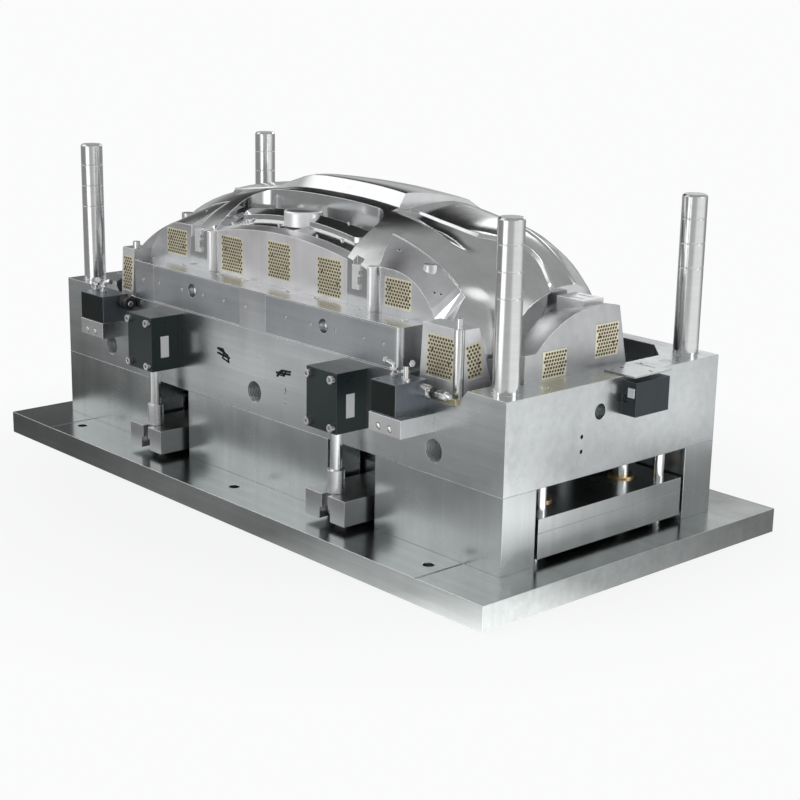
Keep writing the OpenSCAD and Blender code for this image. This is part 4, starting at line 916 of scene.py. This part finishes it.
@dataclass
class CoreSet:
    """The arched core, its front block, rail, boss, posts and locks.

    Attributes:
        boss_y: The boss's place across the mould.
        pocket_x: How far the lifter pockets' inner edges lie from the middle at the front, in millimetres.
        pocket_in: How much nearer to the middle they lie at the rear, in millimetres.
        pocket_y: The pockets' front line, in millimetres.
        pocket_depth: The pockets' depth from front to rear, in millimetres.
        edge_gap: How far beside the pockets' edges the bright lines run, in millimetres.
    """

    boss_y: float = -0.27
    pocket_x: float = 501.0
    pocket_in: float = 58.0
    pocket_y: float = -375.0
    pocket_depth: float = 113.0
    edge_gap: float = 9.0

    def build(self, shop: Shop) -> None:
        """Dress the core, shade its curved skin smoothly and set the small pieces on it."""
        shop.dress(Steel.FACE, "front_block")
        shop.dress(Steel.POST, "front_posts", "lock_inserts", "crown_boss")
        skin = Skin(shop.nodes["core_crown"])
        shop.smooth_twin("core_crown", Steel.CORE, Body.HALF)
        self._pad_pieces(shop, skin)
        self._seams(shop, skin)
        cap = Lathe()
        boss_top = max(vert.co.z for vert in shop.nodes["crown_boss"].data.vertices)
        disc = [(0.0585, -0.0004), (0.0585, 0.0003), (0.058, 0.0005)]
        cap.turned(Matrix.Translation((0.0, self.boss_y, boss_top)), disc, 64)
        shop.keep(cap.finish("boss_face"), Steel.DARK, Body.HALF)

    @staticmethod
    def _pad_pieces(shop: Shop, skin: Skin) -> None:
        """Set pins and short keys on the raised pad and the slope round it."""
        pins, keys = Lathe(), Lathe()
        for x, y, radius in ((87, -214, 4.0), (124, -226, 4.5), (250, -312, 5.5), (-252, -318, 5.5),
                             (-292, -290, 4.5), (210, -252, 3.5), (-120, -252, 3.5), (-60, -330, 3.5),
                             (150, -335, 3.5)):
            place, outward = skin.at(x, y)
            r = radius * MM
            pins.turned(facing(place, outward, REAR), [(r, -0.003), (r, 0.005), (r * 0.75, 0.0062)], 20)
        for x0, y0, x1, y1 in ((158, -238, 166, -222), (258, -240, 266, -222), (296, -236, 300, -224),
                               (-232, -318, -236, -294), (74, -238, 78, -222), (-170, -238, -176, -224)):
            place, outward = skin.at((x0 + x1) / 2, (y0 + y1) / 2)
            along = mm(x1 - x0, y1 - y0, 0)
            half = along.length / 2
            low, high = Vector((-0.0042, -half, -0.002)), Vector((0.0042, half, 0.0042))
            keys.block(low, high, 0.0012, facing(place, outward, along))
        shop.keep(pins.finish("pad_pins"), Steel.PIN, Body.HALF)
        shop.keep(keys.finish("pad_keys"), Steel.PIN, Body.HALF)

    def _seams(self, shop: Shop, skin: Skin) -> None:
        """Run the bright rolled edge along the inner and rear edges of both lifter pockets."""
        paths = []
        for side in (-1, 1):
            ys = [-366 + 108 * i / 8 for i in range(9)]
            places = [
                (self.pocket_x - self.pocket_in * (y - self.pocket_y) / self.pocket_depth - self.edge_gap, y)
                for y in ys
            ]
            places += [(437 + 20 * i, -257) for i in range(1, 16)]
            paths.append([skin.at(side * x, y)[0] - 0.0008 * UP for x, y in places])
        shop.keep_swept(paths, 0.0026, "pocket_edges", Steel.PIN, 8)


@dataclass(frozen=True)
class WearPlate:
    """One bronze wear plate with graphite plugs.

    Attributes:
        name: The plate's name.
        centre: The middle of its face, in millimetres.
        outward: The direction its face looks.
        width: Its width, in millimetres.
        height: Its height, in millimetres.
        body: The body that it rides on.
        skew: How far each row of plugs is shifted against the last, as a share of their distance.
        turn: The plate's turn about its outward direction, in degrees.
    """

    name: str
    centre: Point
    outward: Point
    width: float
    height: float
    body: Body = Body.HALF
    skew: float = 0.5
    turn: float = 0.0

    def place(self) -> Matrix:
        """Return the place of the plate's face."""
        upright = facing(mm(*self.centre), Vector(self.outward), UP)
        return upright @ Matrix.Rotation(math.radians(self.turn), 4, "Z")


@dataclass
class WearPlates:
    """All the wear plates, their plugs and their screws.

    Attributes:
        plug_gap: The distance between plugs, in millimetres.
        row_share: The distance between rows of plugs, as a share of plug_gap.
        plug_r: The plugs' radius, in metres.
        plug_h: How far they stand out of their plate, in metres.
        screw_r: The screw heads' radius, in metres.
        screw_h: Their height, in metres.
        screw_in: How deep their seats lie, in millimetres.
        margin: The plain rim of a plate, in millimetres.
        slack: How much narrower than the rest a row of plugs is, in millimetres.
        front_y: The front plane of the core, in millimetres.
        end_x: The distance of the end blocks' faces from the middle, in millimetres.
        corner_low: The height of the corner blocks' foot, in millimetres.
        corner_foot_y: The place of their front face at the foot, in millimetres.
        corner_up: How far up their front face the plates' middle lies, in millimetres.
        plates: The plates.
    """

    plug_gap: float = 12.6
    row_share: float = 0.86
    plug_r: float = 0.0046
    plug_h: float = 0.0003
    screw_r: float = 0.0049
    screw_h: float = 0.002
    screw_in: float = 3.0
    margin: float = 9.0
    slack: float = 3.0
    front_y: float = -375.0
    end_x: float = 1060.5
    corner_low: float = 548.0
    corner_foot_y: float = -450.0
    corner_up: float = 125.0
    plates: list[WearPlate] = field(default_factory=list)

    def __post_init__(self) -> None:
        """List the plates as the CAD places them."""
        lean = math.atan(12 / 217)
        up_z = self.corner_low + self.corner_up * math.cos(lean)
        up_y = self.corner_foot_y + self.corner_up * math.sin(lean)
        out = (0.0, -math.cos(lean), math.sin(lean))
        front = (0.0, -1.0, 0.0)
        self.plates = [
            WearPlate("front_left", (-262, self.front_y, 811), front, 122, 126),
            WearPlate("front_middle", (0, self.front_y, 827), front, 122, 126),
            WearPlate("front_right", (262, self.front_y, 811), front, 122, 126),
            WearPlate("side_left", (-592, self.front_y + 0.3, 811), front, 122, 92, Body.LIFTER_LEFT),
            WearPlate("side_right", (592, self.front_y + 0.3, 811), front, 122, 92, Body.LIFTER_RIGHT),
            WearPlate("corner_right", (858.5, up_y, up_z), out, 116, 126),
            WearPlate("corner_left", (-812.5, up_y, up_z), out, 60, 126),
            WearPlate("corner_flank", (942, -384, 668), (1, 0, 0), 62, 106, turn=6.5),
        ]
        for side, word in ((1, "right"), (-1, "left")):
            for level, y, z, height in (("low", -166, 649, 84), ("high", 66, 691, 104)):
                self.plates.append(WearPlate(
                    f"end_{word}_{level}", (side * self.end_x, y, z), (side, 0, 0), 104, height, skew=0.3
                ))

    def build(self, shop: Shop) -> None:
        """Dress the plates and grow their plugs and screws."""
        shop.dress(Steel.BRONZE, "wear_plates_front", "wear_plates_corner", "wear_plates_end",
                   "lifter_wear_plate_left", "lifter_wear_plate_right")
        for body in Body:
            own = [plate for plate in self.plates if plate.body is body]
            fields = [self._plugs(plate, shop) for plate in own]
            shop.keep(joined(fields, f"graphite_plugs_{body.value}"), Steel.GRAPHITE, body)
            places = []
            for plate in own:
                for side in (-1, 1):
                    at = mm(side * plate.width / 3.2, -side * plate.height / 8, -self.screw_in)
                    places.append(plate.place() @ Matrix.Translation(at))
            name = f"wear_plate_screws_{body.value}"
            socket_screws(places, self.screw_r, self.screw_h, name, shop, body)

    def _plugs(self, plate: WearPlate, shop: Shop) -> bpy.types.Object:
        """Grow one plate's plugs.

        Args:
            plate: The plate.
            shop: The shared frame and finishes.

        Returns:
            The plugs as one mesh.
        """
        width = plate.width - 2 * self.margin - self.slack
        height = plate.height - 2 * self.margin
        row_gap = self.plug_gap * self.row_share
        place = plate.place()
        return grown(
            shop.repeats.plugs, f"plugs_{plate.name}", None,
            Columns=max(3, round(width / self.plug_gap) + 1), Rows=max(3, round(height / row_gap) + 1),
            Width=width * MM, Height=height * MM, Radius=self.plug_r, Proud=self.plug_h, Skew=plate.skew,
            Place=place.translation[:], Turn=place.to_euler()[:], Material=shop.paints.get(Steel.GRAPHITE),
        )


@dataclass
class PartingBar:
    """The parting bar in front of the core, with its dark inserts and screws.

    Attributes:
        screw_xs: The front screws' places along the bar, in millimetres.
        screw_z: The front screws' height, in millimetres.
        screw_in: How far the screws are sunk, in millimetres.
        bore_xs: The large bores' places along the bar, in millimetres.
        bore_z: The large bores' height, in millimetres.
        bore_in: How far behind the face their linings start, in millimetres.
        face_y: The front face, in millimetres.
    """

    screw_xs: tuple[float, ...] = (-654, -559, -417, -292, -170, -47, 168, 296, 420, 554, 647)
    screw_z: float = 679.0
    screw_in: float = 1.4
    bore_xs: tuple[float, ...] = (-355, 359)
    bore_z: float = 683.0
    bore_in: float = 24.0
    face_y: float = -480.0

    def build(self, shop: Shop) -> None:
        """Dress the bar, put screws into its front holes and line its bores."""
        shop.dress(Steel.BAR, "parting_bar")
        shop.dress(Steel.DARK, "bar_insert_left", "bar_insert_right")
        shop.dress(Steel.PIN, "bar_screws")
        screws, linings = Lathe(), Lathe()
        screw = [(0.0057, -0.014), (0.0057, -0.0008), (0.0048, 0.0008), (0.0022, 0.0014)]
        lining = [(0.0222, -0.03), (0.0222, 0.0), (0.0205, 0.001), (0.0192, -0.012), (0.008, -0.02)]
        for x in self.screw_xs:
            screws.turned(facing(mm(x, self.face_y + self.screw_in, self.screw_z), FRONT, UP), screw, 24)
        for x in self.bore_xs:
            linings.turned(facing(mm(x, self.face_y + self.bore_in, self.bore_z), FRONT, UP), lining, 48)
        shop.keep(screws.finish("bar_face_screws"), Steel.PIN, Body.HALF)
        shop.keep(linings.finish("bar_bore_linings"), Steel.PIN, Body.HALF)


class SideBlocks:
    """The corner and end blocks beside the core."""

    def build(self, shop: Shop) -> None:
        """Dress the blocks and shade the end blocks' arched tops smoothly."""
        shop.dress(Steel.CORNER, "corner_block_left", "corner_block_right")
        shop.dress(Steel.BLOCK, "end_block_left", "end_block_right")
        shop.dress(Steel.PIN, "corner_pins")
        shop.dress(Steel.LIFTER, "end_pads")
        for name in ("end_block_left", "end_block_right"):
            shop.smooth_twin(name, Steel.BLOCK, Body.HALF)


class Lifters:
    """The angled side lifters with their rods and feet."""

    def build(self, shop: Shop) -> None:
        """Dress the lifters, smooth their arched tops and set small screws into their shoulders."""
        shop.dress(Steel.LIFTER, "lifter_left", "lifter_right")
        shop.dress(Steel.PIN, "lifter_rod_left", "lifter_rod_right")
        shop.dress(Steel.BUSH, "lifter_bushes")
        shop.dress(Steel.DARK, "lifter_shoes")
        for side, body in ((-1, Body.LIFTER_LEFT), (1, Body.LIFTER_RIGHT)):
            skin = Skin(shop.nodes[body.value])
            places = []
            for x, y in ((716, -338), (727, -322), (512, -300)):
                place, outward = skin.at(side * x, y)
                places.append(facing(place - outward * 0.0008, outward, REAR))
            socket_screws(places, 0.0062, 0.0016, f"{body.value}_screws", shop, body)
            shop.smooth_twin(body.value, Steel.LIFTER, body)


class Guides:
    """The guide pillars and the ejector set."""

    def build(self, shop: Shop) -> None:
        """Dress the pillars, plates and pins."""
        for row in ("front", "rear"):
            shop.dress(Steel.PILLAR, f"guide_pillar_{row}_left", f"guide_pillar_{row}_right")
        shop.dress(Steel.SPACER, "ejector_base_plate", "ejector_retainer_plate")
        shop.dress(Steel.PIN, "return_pins", "ejector_pins", "ejector_guide_pins", "stop_buttons")
        shop.dress(Steel.BUSH, "ejector_guide_bushes")


@dataclass
class Hydraulics:
    """The four hydraulic cylinders with their rods, couplings and lift blocks.

    Attributes:
        centre_x: The cylinders' distance from the middle along the mould, in millimetres.
        centre_y: The cylinders' distance from the middle across the mould, in millimetres.
        low_z: The height of the blocks' underside, in millimetres.
        gland_h: How far the glands stand out under it, in millimetres.
        label_at: The labels' middle, from the middle of a block's underside, in millimetres.
    """

    centre_x: float = 501.0
    centre_y: float = 541.0
    low_z: float = 396.0
    gland_h: float = 7.0
    label_at: Point = (72.5, -6.0, 84.0)

    def build(self, shop: Shop) -> None:
        """Dress the cylinders and add their glands and blank label plates."""
        for row in ("front", "rear"):
            shop.dress(Steel.CYLINDER, f"cylinder_{row}_left", f"cylinder_{row}_right")
        shop.dress(Steel.PIN, "piston_rods")
        shop.dress(Steel.BRACKET, "rod_couplings")
        shop.dress(Steel.BLOCK, "lift_blocks")
        shop.dress(Steel.SCREW, "cylinder_screws")
        glands, labels = Lathe(), Lathe()
        dx, dy, dz = self.label_at
        for sx in (-1, 1):
            for sy in (-1, 1):
                low = mm(sx * self.centre_x, sy * self.centre_y, self.low_z - self.gland_h)
                glands.turned(Matrix.Translation(low), [(0.026, 0.0), (0.029, 0.002), (0.029, 0.0072)], 40)
                side = mm(sx * self.centre_x + dx, sy * self.centre_y + dy, self.low_z + dz)
                labels.block(mm(-17, -38, 0), mm(17, 38, 1.2), 0.0004, facing(side, RIGHT, UP))
        shop.keep(glands.finish("cylinder_glands"), Steel.BRACKET, Body.HALF)
        shop.keep(labels.finish("cylinder_label_plates"), Steel.LABEL, Body.HALF)


@dataclass
class Boxes:
    """The switch boxes, their brackets and connectors, and the end junction box.

    Attributes:
        boxes: Each box's left end, right end and front face, in millimetres.
        low_z: The boxes' underside, in millimetres.
        high_z: The boxes' top, in millimetres.
        plug_y: The connectors' axis, in millimetres.
        plug_z: The connectors' height, in millimetres.
        elbow_y: The line of the elbow fittings, in millimetres.
        cover_z: The top of the junction box's cover, in millimetres.
    """

    boxes: tuple[Point, ...] = ((-905, -760, -586), (737, 845, -606))
    low_z: float = 510.0
    high_z: float = 608.0
    plug_y: float = -506.0
    plug_z: float = 582.0
    elbow_y: float = -538.0
    cover_z: float = 610.0

    def build(self, shop: Shop) -> None:
        """Dress the boxes and add their panels, screws, fittings and connectors."""
        shop.dress(Steel.BOX, "switch_boxes")
        shop.dress(Steel.JUNCTION, "junction_box")
        shop.dress(Steel.BRACKET, "box_brackets")
        shop.dress(Steel.SPACER, "junction_cover")
        shop.dress(Steel.SCREW, "box_connectors")
        panels, buttons = Lathe(), Lathe()
        for x0, x1, y in self.boxes:
            panels.block(mm(x0 + 2, y - 2.2, self.low_z + 2), mm(x1 - 2, y + 0.5, self.high_z - 2), 0.0008)
        button = [(0.0098, -0.01), (0.0098, 0.002), (0.0088, 0.005), (0.006, 0.0068), (0.002, 0.0074)]
        for x, y in ((-863, -590), (-813, -590), (779, -614), (829, -614)):
            buttons.turned(facing(mm(x, y + 4, self.low_z - 36.5), FRONT, UP), button, 32)
        shop.keep(panels.finish("box_front_panels"), Steel.PANEL, Body.HALF)
        shop.keep(buttons.finish("bracket_screws"), Steel.PIN, Body.HALF)
        self._connectors(shop)
        self._elbows(shop)
        self._junction(shop)

    def _connectors(self, shop: Shop) -> None:
        """Add the black round plug on the left box and the coupling on the right one."""
        black, bright, brass = Lathe(), Lathe(), Lathe()
        along = Matrix.Rotation(math.radians(90), 4, "Y")
        left = Matrix.Translation(mm(-760, self.plug_y, self.plug_z)) @ along
        black.turned(left, [(0.0205, 0.002), (0.023, 0.004), (0.023, 0.024), (0.0205, 0.026), (0.0205, 0.041),
                            (0.0235, 0.043), (0.0235, 0.055), (0.0215, 0.057)], 40)
        bright.turned(left, [(0.0105, 0.05), (0.0105, 0.0585), (0.009, 0.06)], 32)
        right = Matrix.Translation(mm(845, self.plug_y, self.plug_z)) @ along
        black.turned(right, [(0.0158, 0.052), (0.0158, 0.066), (0.0145, 0.068)], 40)
        nut = [(0.0125, 0.064), (0.0125, 0.088), (0.015, 0.09), (0.015, 0.106), (0.0125, 0.109)]
        bright.turned(right, nut, 6)
        bright.turned(right, [(0.0075, 0.1), (0.0075, 0.126), (0.0065, 0.128)], 24)
        brass.block(mm(896, -492, 556), mm(980, -479.5, 572), 0.001)
        shop.keep(black.finish("plug_sleeves"), Steel.RUBBER, Body.HALF)
        shop.keep(bright.finish("plug_cores"), Steel.PIN, Body.HALF)
        shop.keep(brass.finish("brass_strip"), Steel.BRASS, Body.HALF)

    def _elbows(self, shop: Shop) -> None:
        """Add the elbow fittings with their nuts on top of both boxes, and the sensor's post and cap."""
        nuts, caps = Lathe(), Lathe()
        base = self.high_z + 20
        paths: list[list[Vector]] = []
        elbows = ((761, 16, -26, -8), (811, 26, 30, -4), (-881, 14, 30, -10), (-831, 14, 34, 6))
        for x, rise, dx, dy in elbows:
            foot, knee = mm(x, self.elbow_y, base), mm(x, self.elbow_y, base + rise)
            bend = [knee + mm(dx * k, dy * k, 10 * math.sin(k * math.pi / 2)) for k in (0.15, 0.35, 0.6, 1.0)]
            paths.append([foot, knee, *bend])
            end = bend[-1] - bend[-2]
            mouth = facing(bend[-1] - end * 0.3, end, UP)
            for place, r in ((Matrix.Translation(foot), 0.0135), (mouth, 0.0115)):
                nuts.turned(place, [(r - 0.001, 0.0), (r, 0.001), (r, 0.009), (r - 0.001, 0.01)], 6)
        post = mm(832, -552, self.high_z - 1)
        stem = [(0.012, 0.0), (0.012, 0.01), (0.007, 0.011), (0.007, 0.05)]
        nuts.turned(Matrix.Translation(post), stem, 24)
        cap = [(0.0095, 0.0), (0.0105, 0.001), (0.0105, 0.022), (0.009, 0.024)]
        caps.turned(Matrix.Translation(post + mm(0, 0, 49)), cap, 32)
        shop.keep_swept(paths, 0.0075, "elbow_tubes", Steel.PIN, 16)
        shop.keep(nuts.finish("elbow_nuts"), Steel.PIN, Body.HALF)
        shop.keep(caps.finish("sensor_cap"), Steel.RUBBER, Body.HALF)

    def _junction(self, shop: Shop) -> None:
        """Add the clips beside the junction box and the slots and groove of its cover."""
        clips, slots = Lathe(), Lathe()
        clips.block(mm(1196, 14.5, 545), mm(1222, 18.3, 575), 0.0006)
        clips.block(mm(1196, 171.8, 520), mm(1222, 175.5, 548), 0.0006)
        for x, y in ((1112, 82), (1196, 118)):
            slots.block(mm(-7, -3.2, -0.4), mm(7, 3.2, 0.3), 0.0002, facing(mm(x, y, self.cover_z), UP, REAR))
        slots.block(mm(1098, 160, self.cover_z - 0.4), mm(1176, 162.5, self.cover_z + 0.3), 0.0002)
        shop.keep(clips.finish("junction_clips"), Steel.BRACKET, Body.HALF)
        shop.keep(slots.finish("cover_slots"), Steel.SOCKET, Body.HALF)


# Studio


def turn_at(degrees: float) -> float:
    """Return where a direction lies on a radial gradient, which runs from -X through -Y and +X back to -X.

    Args:
        degrees: The direction, counted from +X towards +Y.
    """
    return (degrees - 180.0) % 360.0 / 360.0


def by_turn(first: float, *steps: tuple[float, float], last: float) -> Stops:
    """Return the brightness steps of a ring round the mould.

    Args:
        first: The brightness just past -X, towards -Y.
        steps: Each step's direction, counted from +X towards +Y in degrees, and its brightness.
        last: The brightness just before -X.
    """
    return ((0.0, first), *((turn_at(degrees), brightness) for degrees, brightness in steps), (1.0, last))


def ramp(tree: Wiring, value: object, stops: Stops) -> bpy.types.Node:
    """Turn a value into a brightness through soft steps.

    Args:
        tree: The tree that gets the node.
        value: The value, from 0 to 1, as a node or socket.
        stops: Each step's place and brightness, in rising order.

    Returns:
        A node with the brightness.
    """
    node = tree.add("ShaderNodeFloatCurve", Value=value)
    curve = node.mapping.curves[0]
    node.mapping.use_clip = False
    while len(curve.points) < len(stops):
        curve.points.new(0.5, 0.5)
    for point, (at, brightness) in zip(curve.points, stops):
        point.location = (at, brightness / RAMP_TOP)
        point.handle_type = "VECTOR"
    node.mapping.update()
    return tree.math("MULTIPLY", node, RAMP_TOP)


@dataclass
class Studio:
    """The camera, the floor, the lamps and the surroundings.

    Attributes:
        azimuth: The camera's turn round the mould, in degrees.
        elevation: The camera's height angle, in degrees.
        roll: The camera's tilt, in degrees.
        lens: The focal length, in millimetres.
        sensor: The width of the sensor, in millimetres.
        place: The camera's place.
        sky: How bright the surroundings are from straight down, at 0, to straight up, at 1.
        darkest: The least light that any direction gives.
        fields: Brighter and darker fields: direction, inner and outer angle in degrees, and gain.
        near_floor: How brightly the floor near the mould mirrors, by its turn from -X through -Y.
        floor_rings: The same further out: where each ring sets in, where it is full, and how it mirrors.
        floor_colour: The floor's colour, linear.
        floor_roughness: The floor's roughness.
        floor_reach: How far the floor reaches to each side.
        floor_gap: The gap between the floor and the clamp plate.
        fade_start: How far from the middle the floor that the camera sees starts to fade out.
        fade_end: How far out it is as white as the background.
        fade_least: How white it is near the mould.
        lamps: Each lamp's name, place, target, width, height and watts, and whether the metal mirrors it.
    """

    azimuth: float = 47.833
    elevation: float = 14.904
    roll: float = 1.039
    lens: float = 75.033
    sensor: float = 36.0
    place: Point = (4.3265, -3.741, 1.8121)
    sky: Stops = ((0.0, 0.4), (0.5, 0.5), (0.53, 0.75), (0.66, 0.72), (0.8, 0.55), (1.0, 0.52))
    darkest: float = 0.03
    fields: tuple[tuple[Point, float, float, float], ...] = (
        ((-0.75, 0.42, 0.52), 10.0, 30.0, -0.66),
        ((0.62, -0.1, 0.78), 6.0, 22.0, 0.8),
        ((0.3, -0.32, 0.9), 2.5, 9.0, 1.4),
        ((0.88, 0.16, 0.45), 3.0, 12.0, 1.0),
        ((-0.716, -0.428, 0.551), 9.0, 30.0, 1.3),
    )
    near_floor: Stops = by_turn(
        0.12, (215, 0.14), (245, 0.27), (290, 0.27), (322, 0.8), (334, 2.0), (342, 1.7), (354, 0.7),
        (26, 0.3), last=0.3,
    )
    floor_rings: tuple[tuple[float, float, Stops], ...] = (
        (1.45, 1.75, by_turn(
            0.1, (213, 0.12), (226, 0.8), (231, 0.8), (243, 0.52), (290, 0.5), (340, 1.5), (3, 1.95),
            (12, 1.0), (24, 0.3), (90, 0.3), last=0.4,
        )),
        (2.15, 2.5, by_turn(
            0.16, (213, 0.18), (223, 1.25), (229, 1.0), (241, 0.62), (290, 0.55), (340, 1.4), (12, 1.25),
            (40, 1.1), (90, 0.4), last=0.4,
        )),
        (2.8, 3.4, by_turn(
            0.34, (214, 0.3), (252, 0.3), (263, 1.9), (284, 1.9), (296, 0.5), (330, 0.55), (345, 0.95),
            (40, 0.95), (70, 0.3), last=0.4,
        )),
    )
    floor_colour: Colour = (0.8, 0.802, 0.805)
    floor_roughness: float = 0.75
    floor_reach: float = 120.0
    floor_gap: float = 0.0006
    fade_start: float = 0.9
    fade_end: float = 1.9
    fade_least: float = 0.78
    lamps: tuple[tuple[str, Point, Point, float, float, float, bool], ...] = (
        ("top_softbox", (-0.3, -0.9, 4.4), (0.0, 0.0, 0.5), 3.0, 1.8, 60.0, False),
        ("right_softbox", (4.6, 1.4, 2.0), (0.6, 0.0, 0.5), 1.6, 2.4, 32.0, True),
        ("front_strip", (-0.6, -4.6, 2.2), (-0.2, 0.0, 0.6), 0.8, 2.4, 24.0, True),
        ("rear_softbox", (-1.6, 4.2, 3.0), (0.0, 0.0, 0.7), 2.6, 1.6, 24.0, True),
    )

    def build(self) -> None:
        """Build everything that stands round the mould."""
        self._camera()
        self._surroundings()
        self._floor()
        for lamp in self.lamps:
            self._lamp(*lamp)
        bpy.context.scene.view_settings.view_transform = "Standard"

    def _camera(self) -> None:
        """Set the camera as the photograph's, from points measured on the plates."""
        a, e, r = map(math.radians, (self.azimuth, self.elevation, self.roll))
        back = Vector((math.sin(a) * math.cos(e), -math.cos(a) * math.cos(e), math.sin(e)))
        level = Vector((math.cos(a), math.sin(a), 0.0))
        above = back.cross(level)
        right = math.cos(r) * level + math.sin(r) * above
        up = -math.sin(r) * level + math.cos(r) * above
        data = bpy.data.cameras.new("photo_camera")
        data.sensor_width, data.lens = self.sensor, self.lens
        data.clip_start, data.clip_end = 0.1, 300.0
        camera = link(bpy.data.objects.new("photo_camera", data))
        turn = Matrix((right, up, back)).transposed().to_4x4()
        camera.matrix_world = Matrix.Translation(self.place) @ turn
        bpy.context.scene.camera = camera

    def _surroundings(self) -> None:
        """Light the mould from a gradient with bright and dark fields, and show near-white behind it."""
        world = bpy.data.worlds.new("studio")
        bpy.context.scene.world = world
        world.use_nodes = True
        world.node_tree.nodes.clear()
        tree = Wiring(world.node_tree)
        place = tree.add("ShaderNodeTexCoord").outputs["Generated"]
        height = tree.add("ShaderNodeSeparateXYZ", Vector=place).outputs["Z"]
        light = ramp(tree, tree.add("ShaderNodeMapRange", Value=height, From_Min=-1.0), self.sky)
        for direction, inner, outer, gain in self.fields:
            light = self._field(tree, place, light, direction, inner, outer, gain)
        soft = tree.add("ShaderNodeBackground", Strength=light)
        seen = tree.add("ShaderNodeBackground", Color=NEAR_WHITE)
        ray = tree.add("ShaderNodeLightPath").outputs["Is Camera Ray"]
        tree.add("ShaderNodeOutputWorld", Surface=tree.add("ShaderNodeMixShader", ray, soft, seen))

    def _field(
        self, tree: Wiring, place: bpy.types.NodeSocket, light: bpy.types.Node, direction: Point,
        inner: float, outer: float, gain: float,
    ) -> bpy.types.Node:
        """Brighten or darken the surroundings round one direction.

        Args:
            tree: The world's tree.
            place: The direction of each point of the surroundings.
            light: The light so far.
            direction: The field's middle.
            inner: The angle of its full strength, in degrees.
            outer: The angle where it ends, in degrees.
            gain: What is added to the light at full strength.

        Returns:
            A node with the light with the field.
        """
        middle = Vector(direction).normalized()
        nearness = tree.add("ShaderNodeVectorMath", place, middle, operation="DOT_PRODUCT")
        reach = tree.add(
            "ShaderNodeMapRange", interpolation_type="SMOOTHSTEP", Value=nearness, To_Max=gain,
            From_Min=math.cos(math.radians(outer)), From_Max=math.cos(math.radians(inner)),
        )
        return tree.math("MAXIMUM", tree.math("ADD", reach, light), self.darkest)

    def _floor(self) -> None:
        """Lay a pale floor that fades into the background and mirrors as light and dark fields."""
        mesh = bmesh.new()
        bmesh.ops.create_grid(mesh, x_segments=1, y_segments=1, size=self.floor_reach)
        floor = as_object(mesh, "floor")
        floor.location.z = -self.floor_gap
        material = bpy.data.materials.new("pale_floor")
        material.use_nodes = True
        tree = Wiring(material.node_tree)
        shader = tree.fill(
            material.node_tree.nodes["Principled BSDF"], Base_Color=(*self.floor_colour, 1.0),
            Roughness=self.floor_roughness,
        )
        place = tree.add("ShaderNodeTexCoord").outputs["Object"]
        reach = tree.add("ShaderNodeVectorMath", place, operation="LENGTH")
        fade = tree.add(
            "ShaderNodeMapRange", Value=reach, From_Min=self.fade_start, From_Max=self.fade_end,
            To_Min=self.fade_least,
        )
        seen = tree.add("ShaderNodeMixShader", fade, shader, tree.add("ShaderNodeEmission", Color=NEAR_WHITE))
        mirrored = tree.add("ShaderNodeEmission", Strength=self._mirror_light(tree, place, reach))
        ray = tree.add("ShaderNodeLightPath").outputs["Is Camera Ray"]
        surface = tree.add("ShaderNodeMixShader", ray, mirrored, seen)
        tree.fill(material.node_tree.nodes["Material Output"], Surface=surface)
        floor.data.materials.append(material)

    def _mirror_light(
        self, tree: Wiring, place: bpy.types.NodeSocket, reach: bpy.types.Node
    ) -> bpy.types.Node:
        """Build how brightly the floor mirrors in the metal, by its turn round the mould and its distance.

        Args:
            tree: The floor's tree.
            place: The texture coordinates.
            reach: The distance from the middle.

        Returns:
            A node with the strength.
        """
        turn = tree.add("ShaderNodeTexGradient", gradient_type="RADIAL", Vector=place).outputs["Fac"]
        light = ramp(tree, turn, self.near_floor)
        for start, end, stops in self.floor_rings:
            blend = tree.add(
                "ShaderNodeMapRange", interpolation_type="SMOOTHSTEP", Value=reach,
                From_Min=start, From_Max=end,
            )
            ring = ramp(tree, turn, stops)
            light = tree.add("ShaderNodeMix", data_type="FLOAT", Factor=blend, A=light, B=ring)
        return light

    @staticmethod
    def _lamp(
        name: str, place: Point, target: Point, width: float, height: float, watts: float, mirrored: bool
    ) -> None:
        """Hang one area lamp.

        Args:
            name: The lamp's name.
            place: Where it hangs.
            target: The point that it faces.
            width: Its width.
            height: Its height.
            watts: Its power.
            mirrored: Whether the metal mirrors it.
        """
        data = bpy.data.lights.new(name, "AREA")
        data.shape, data.size, data.size_y, data.energy = "RECTANGLE", width, height, watts
        lamp = link(bpy.data.objects.new(name, data))
        lamp.visible_glossy = mirrored
        lamp.location = place
        lamp.rotation_mode = "QUATERNION"
        lamp.rotation_quaternion = (Vector(target) - Vector(place)).to_track_quat("-Z", "Y")


def main() -> None:
    """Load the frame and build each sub-assembly in order."""
    logging.basicConfig(level=logging.INFO, format="%(name)s: %(message)s")
    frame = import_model()
    Studio().build()
    shop = Shop(nodes=frame["nodes"], paints=Paints(), repeats=Repeats())
    for assembly in (
        PlateStack(), CoreSet(), WearPlates(), PartingBar(), SideBlocks(), Lifters(), Guides(), Hydraulics(),
        Boxes(),
    ):
        assembly.build(shop)
        LOG.info("%s done", type(assembly).__name__)
    LOG.info("%d pieces made besides the CAD's %d", len(shop.made), len(shop.nodes))


if __name__ == "__main__":
    main()
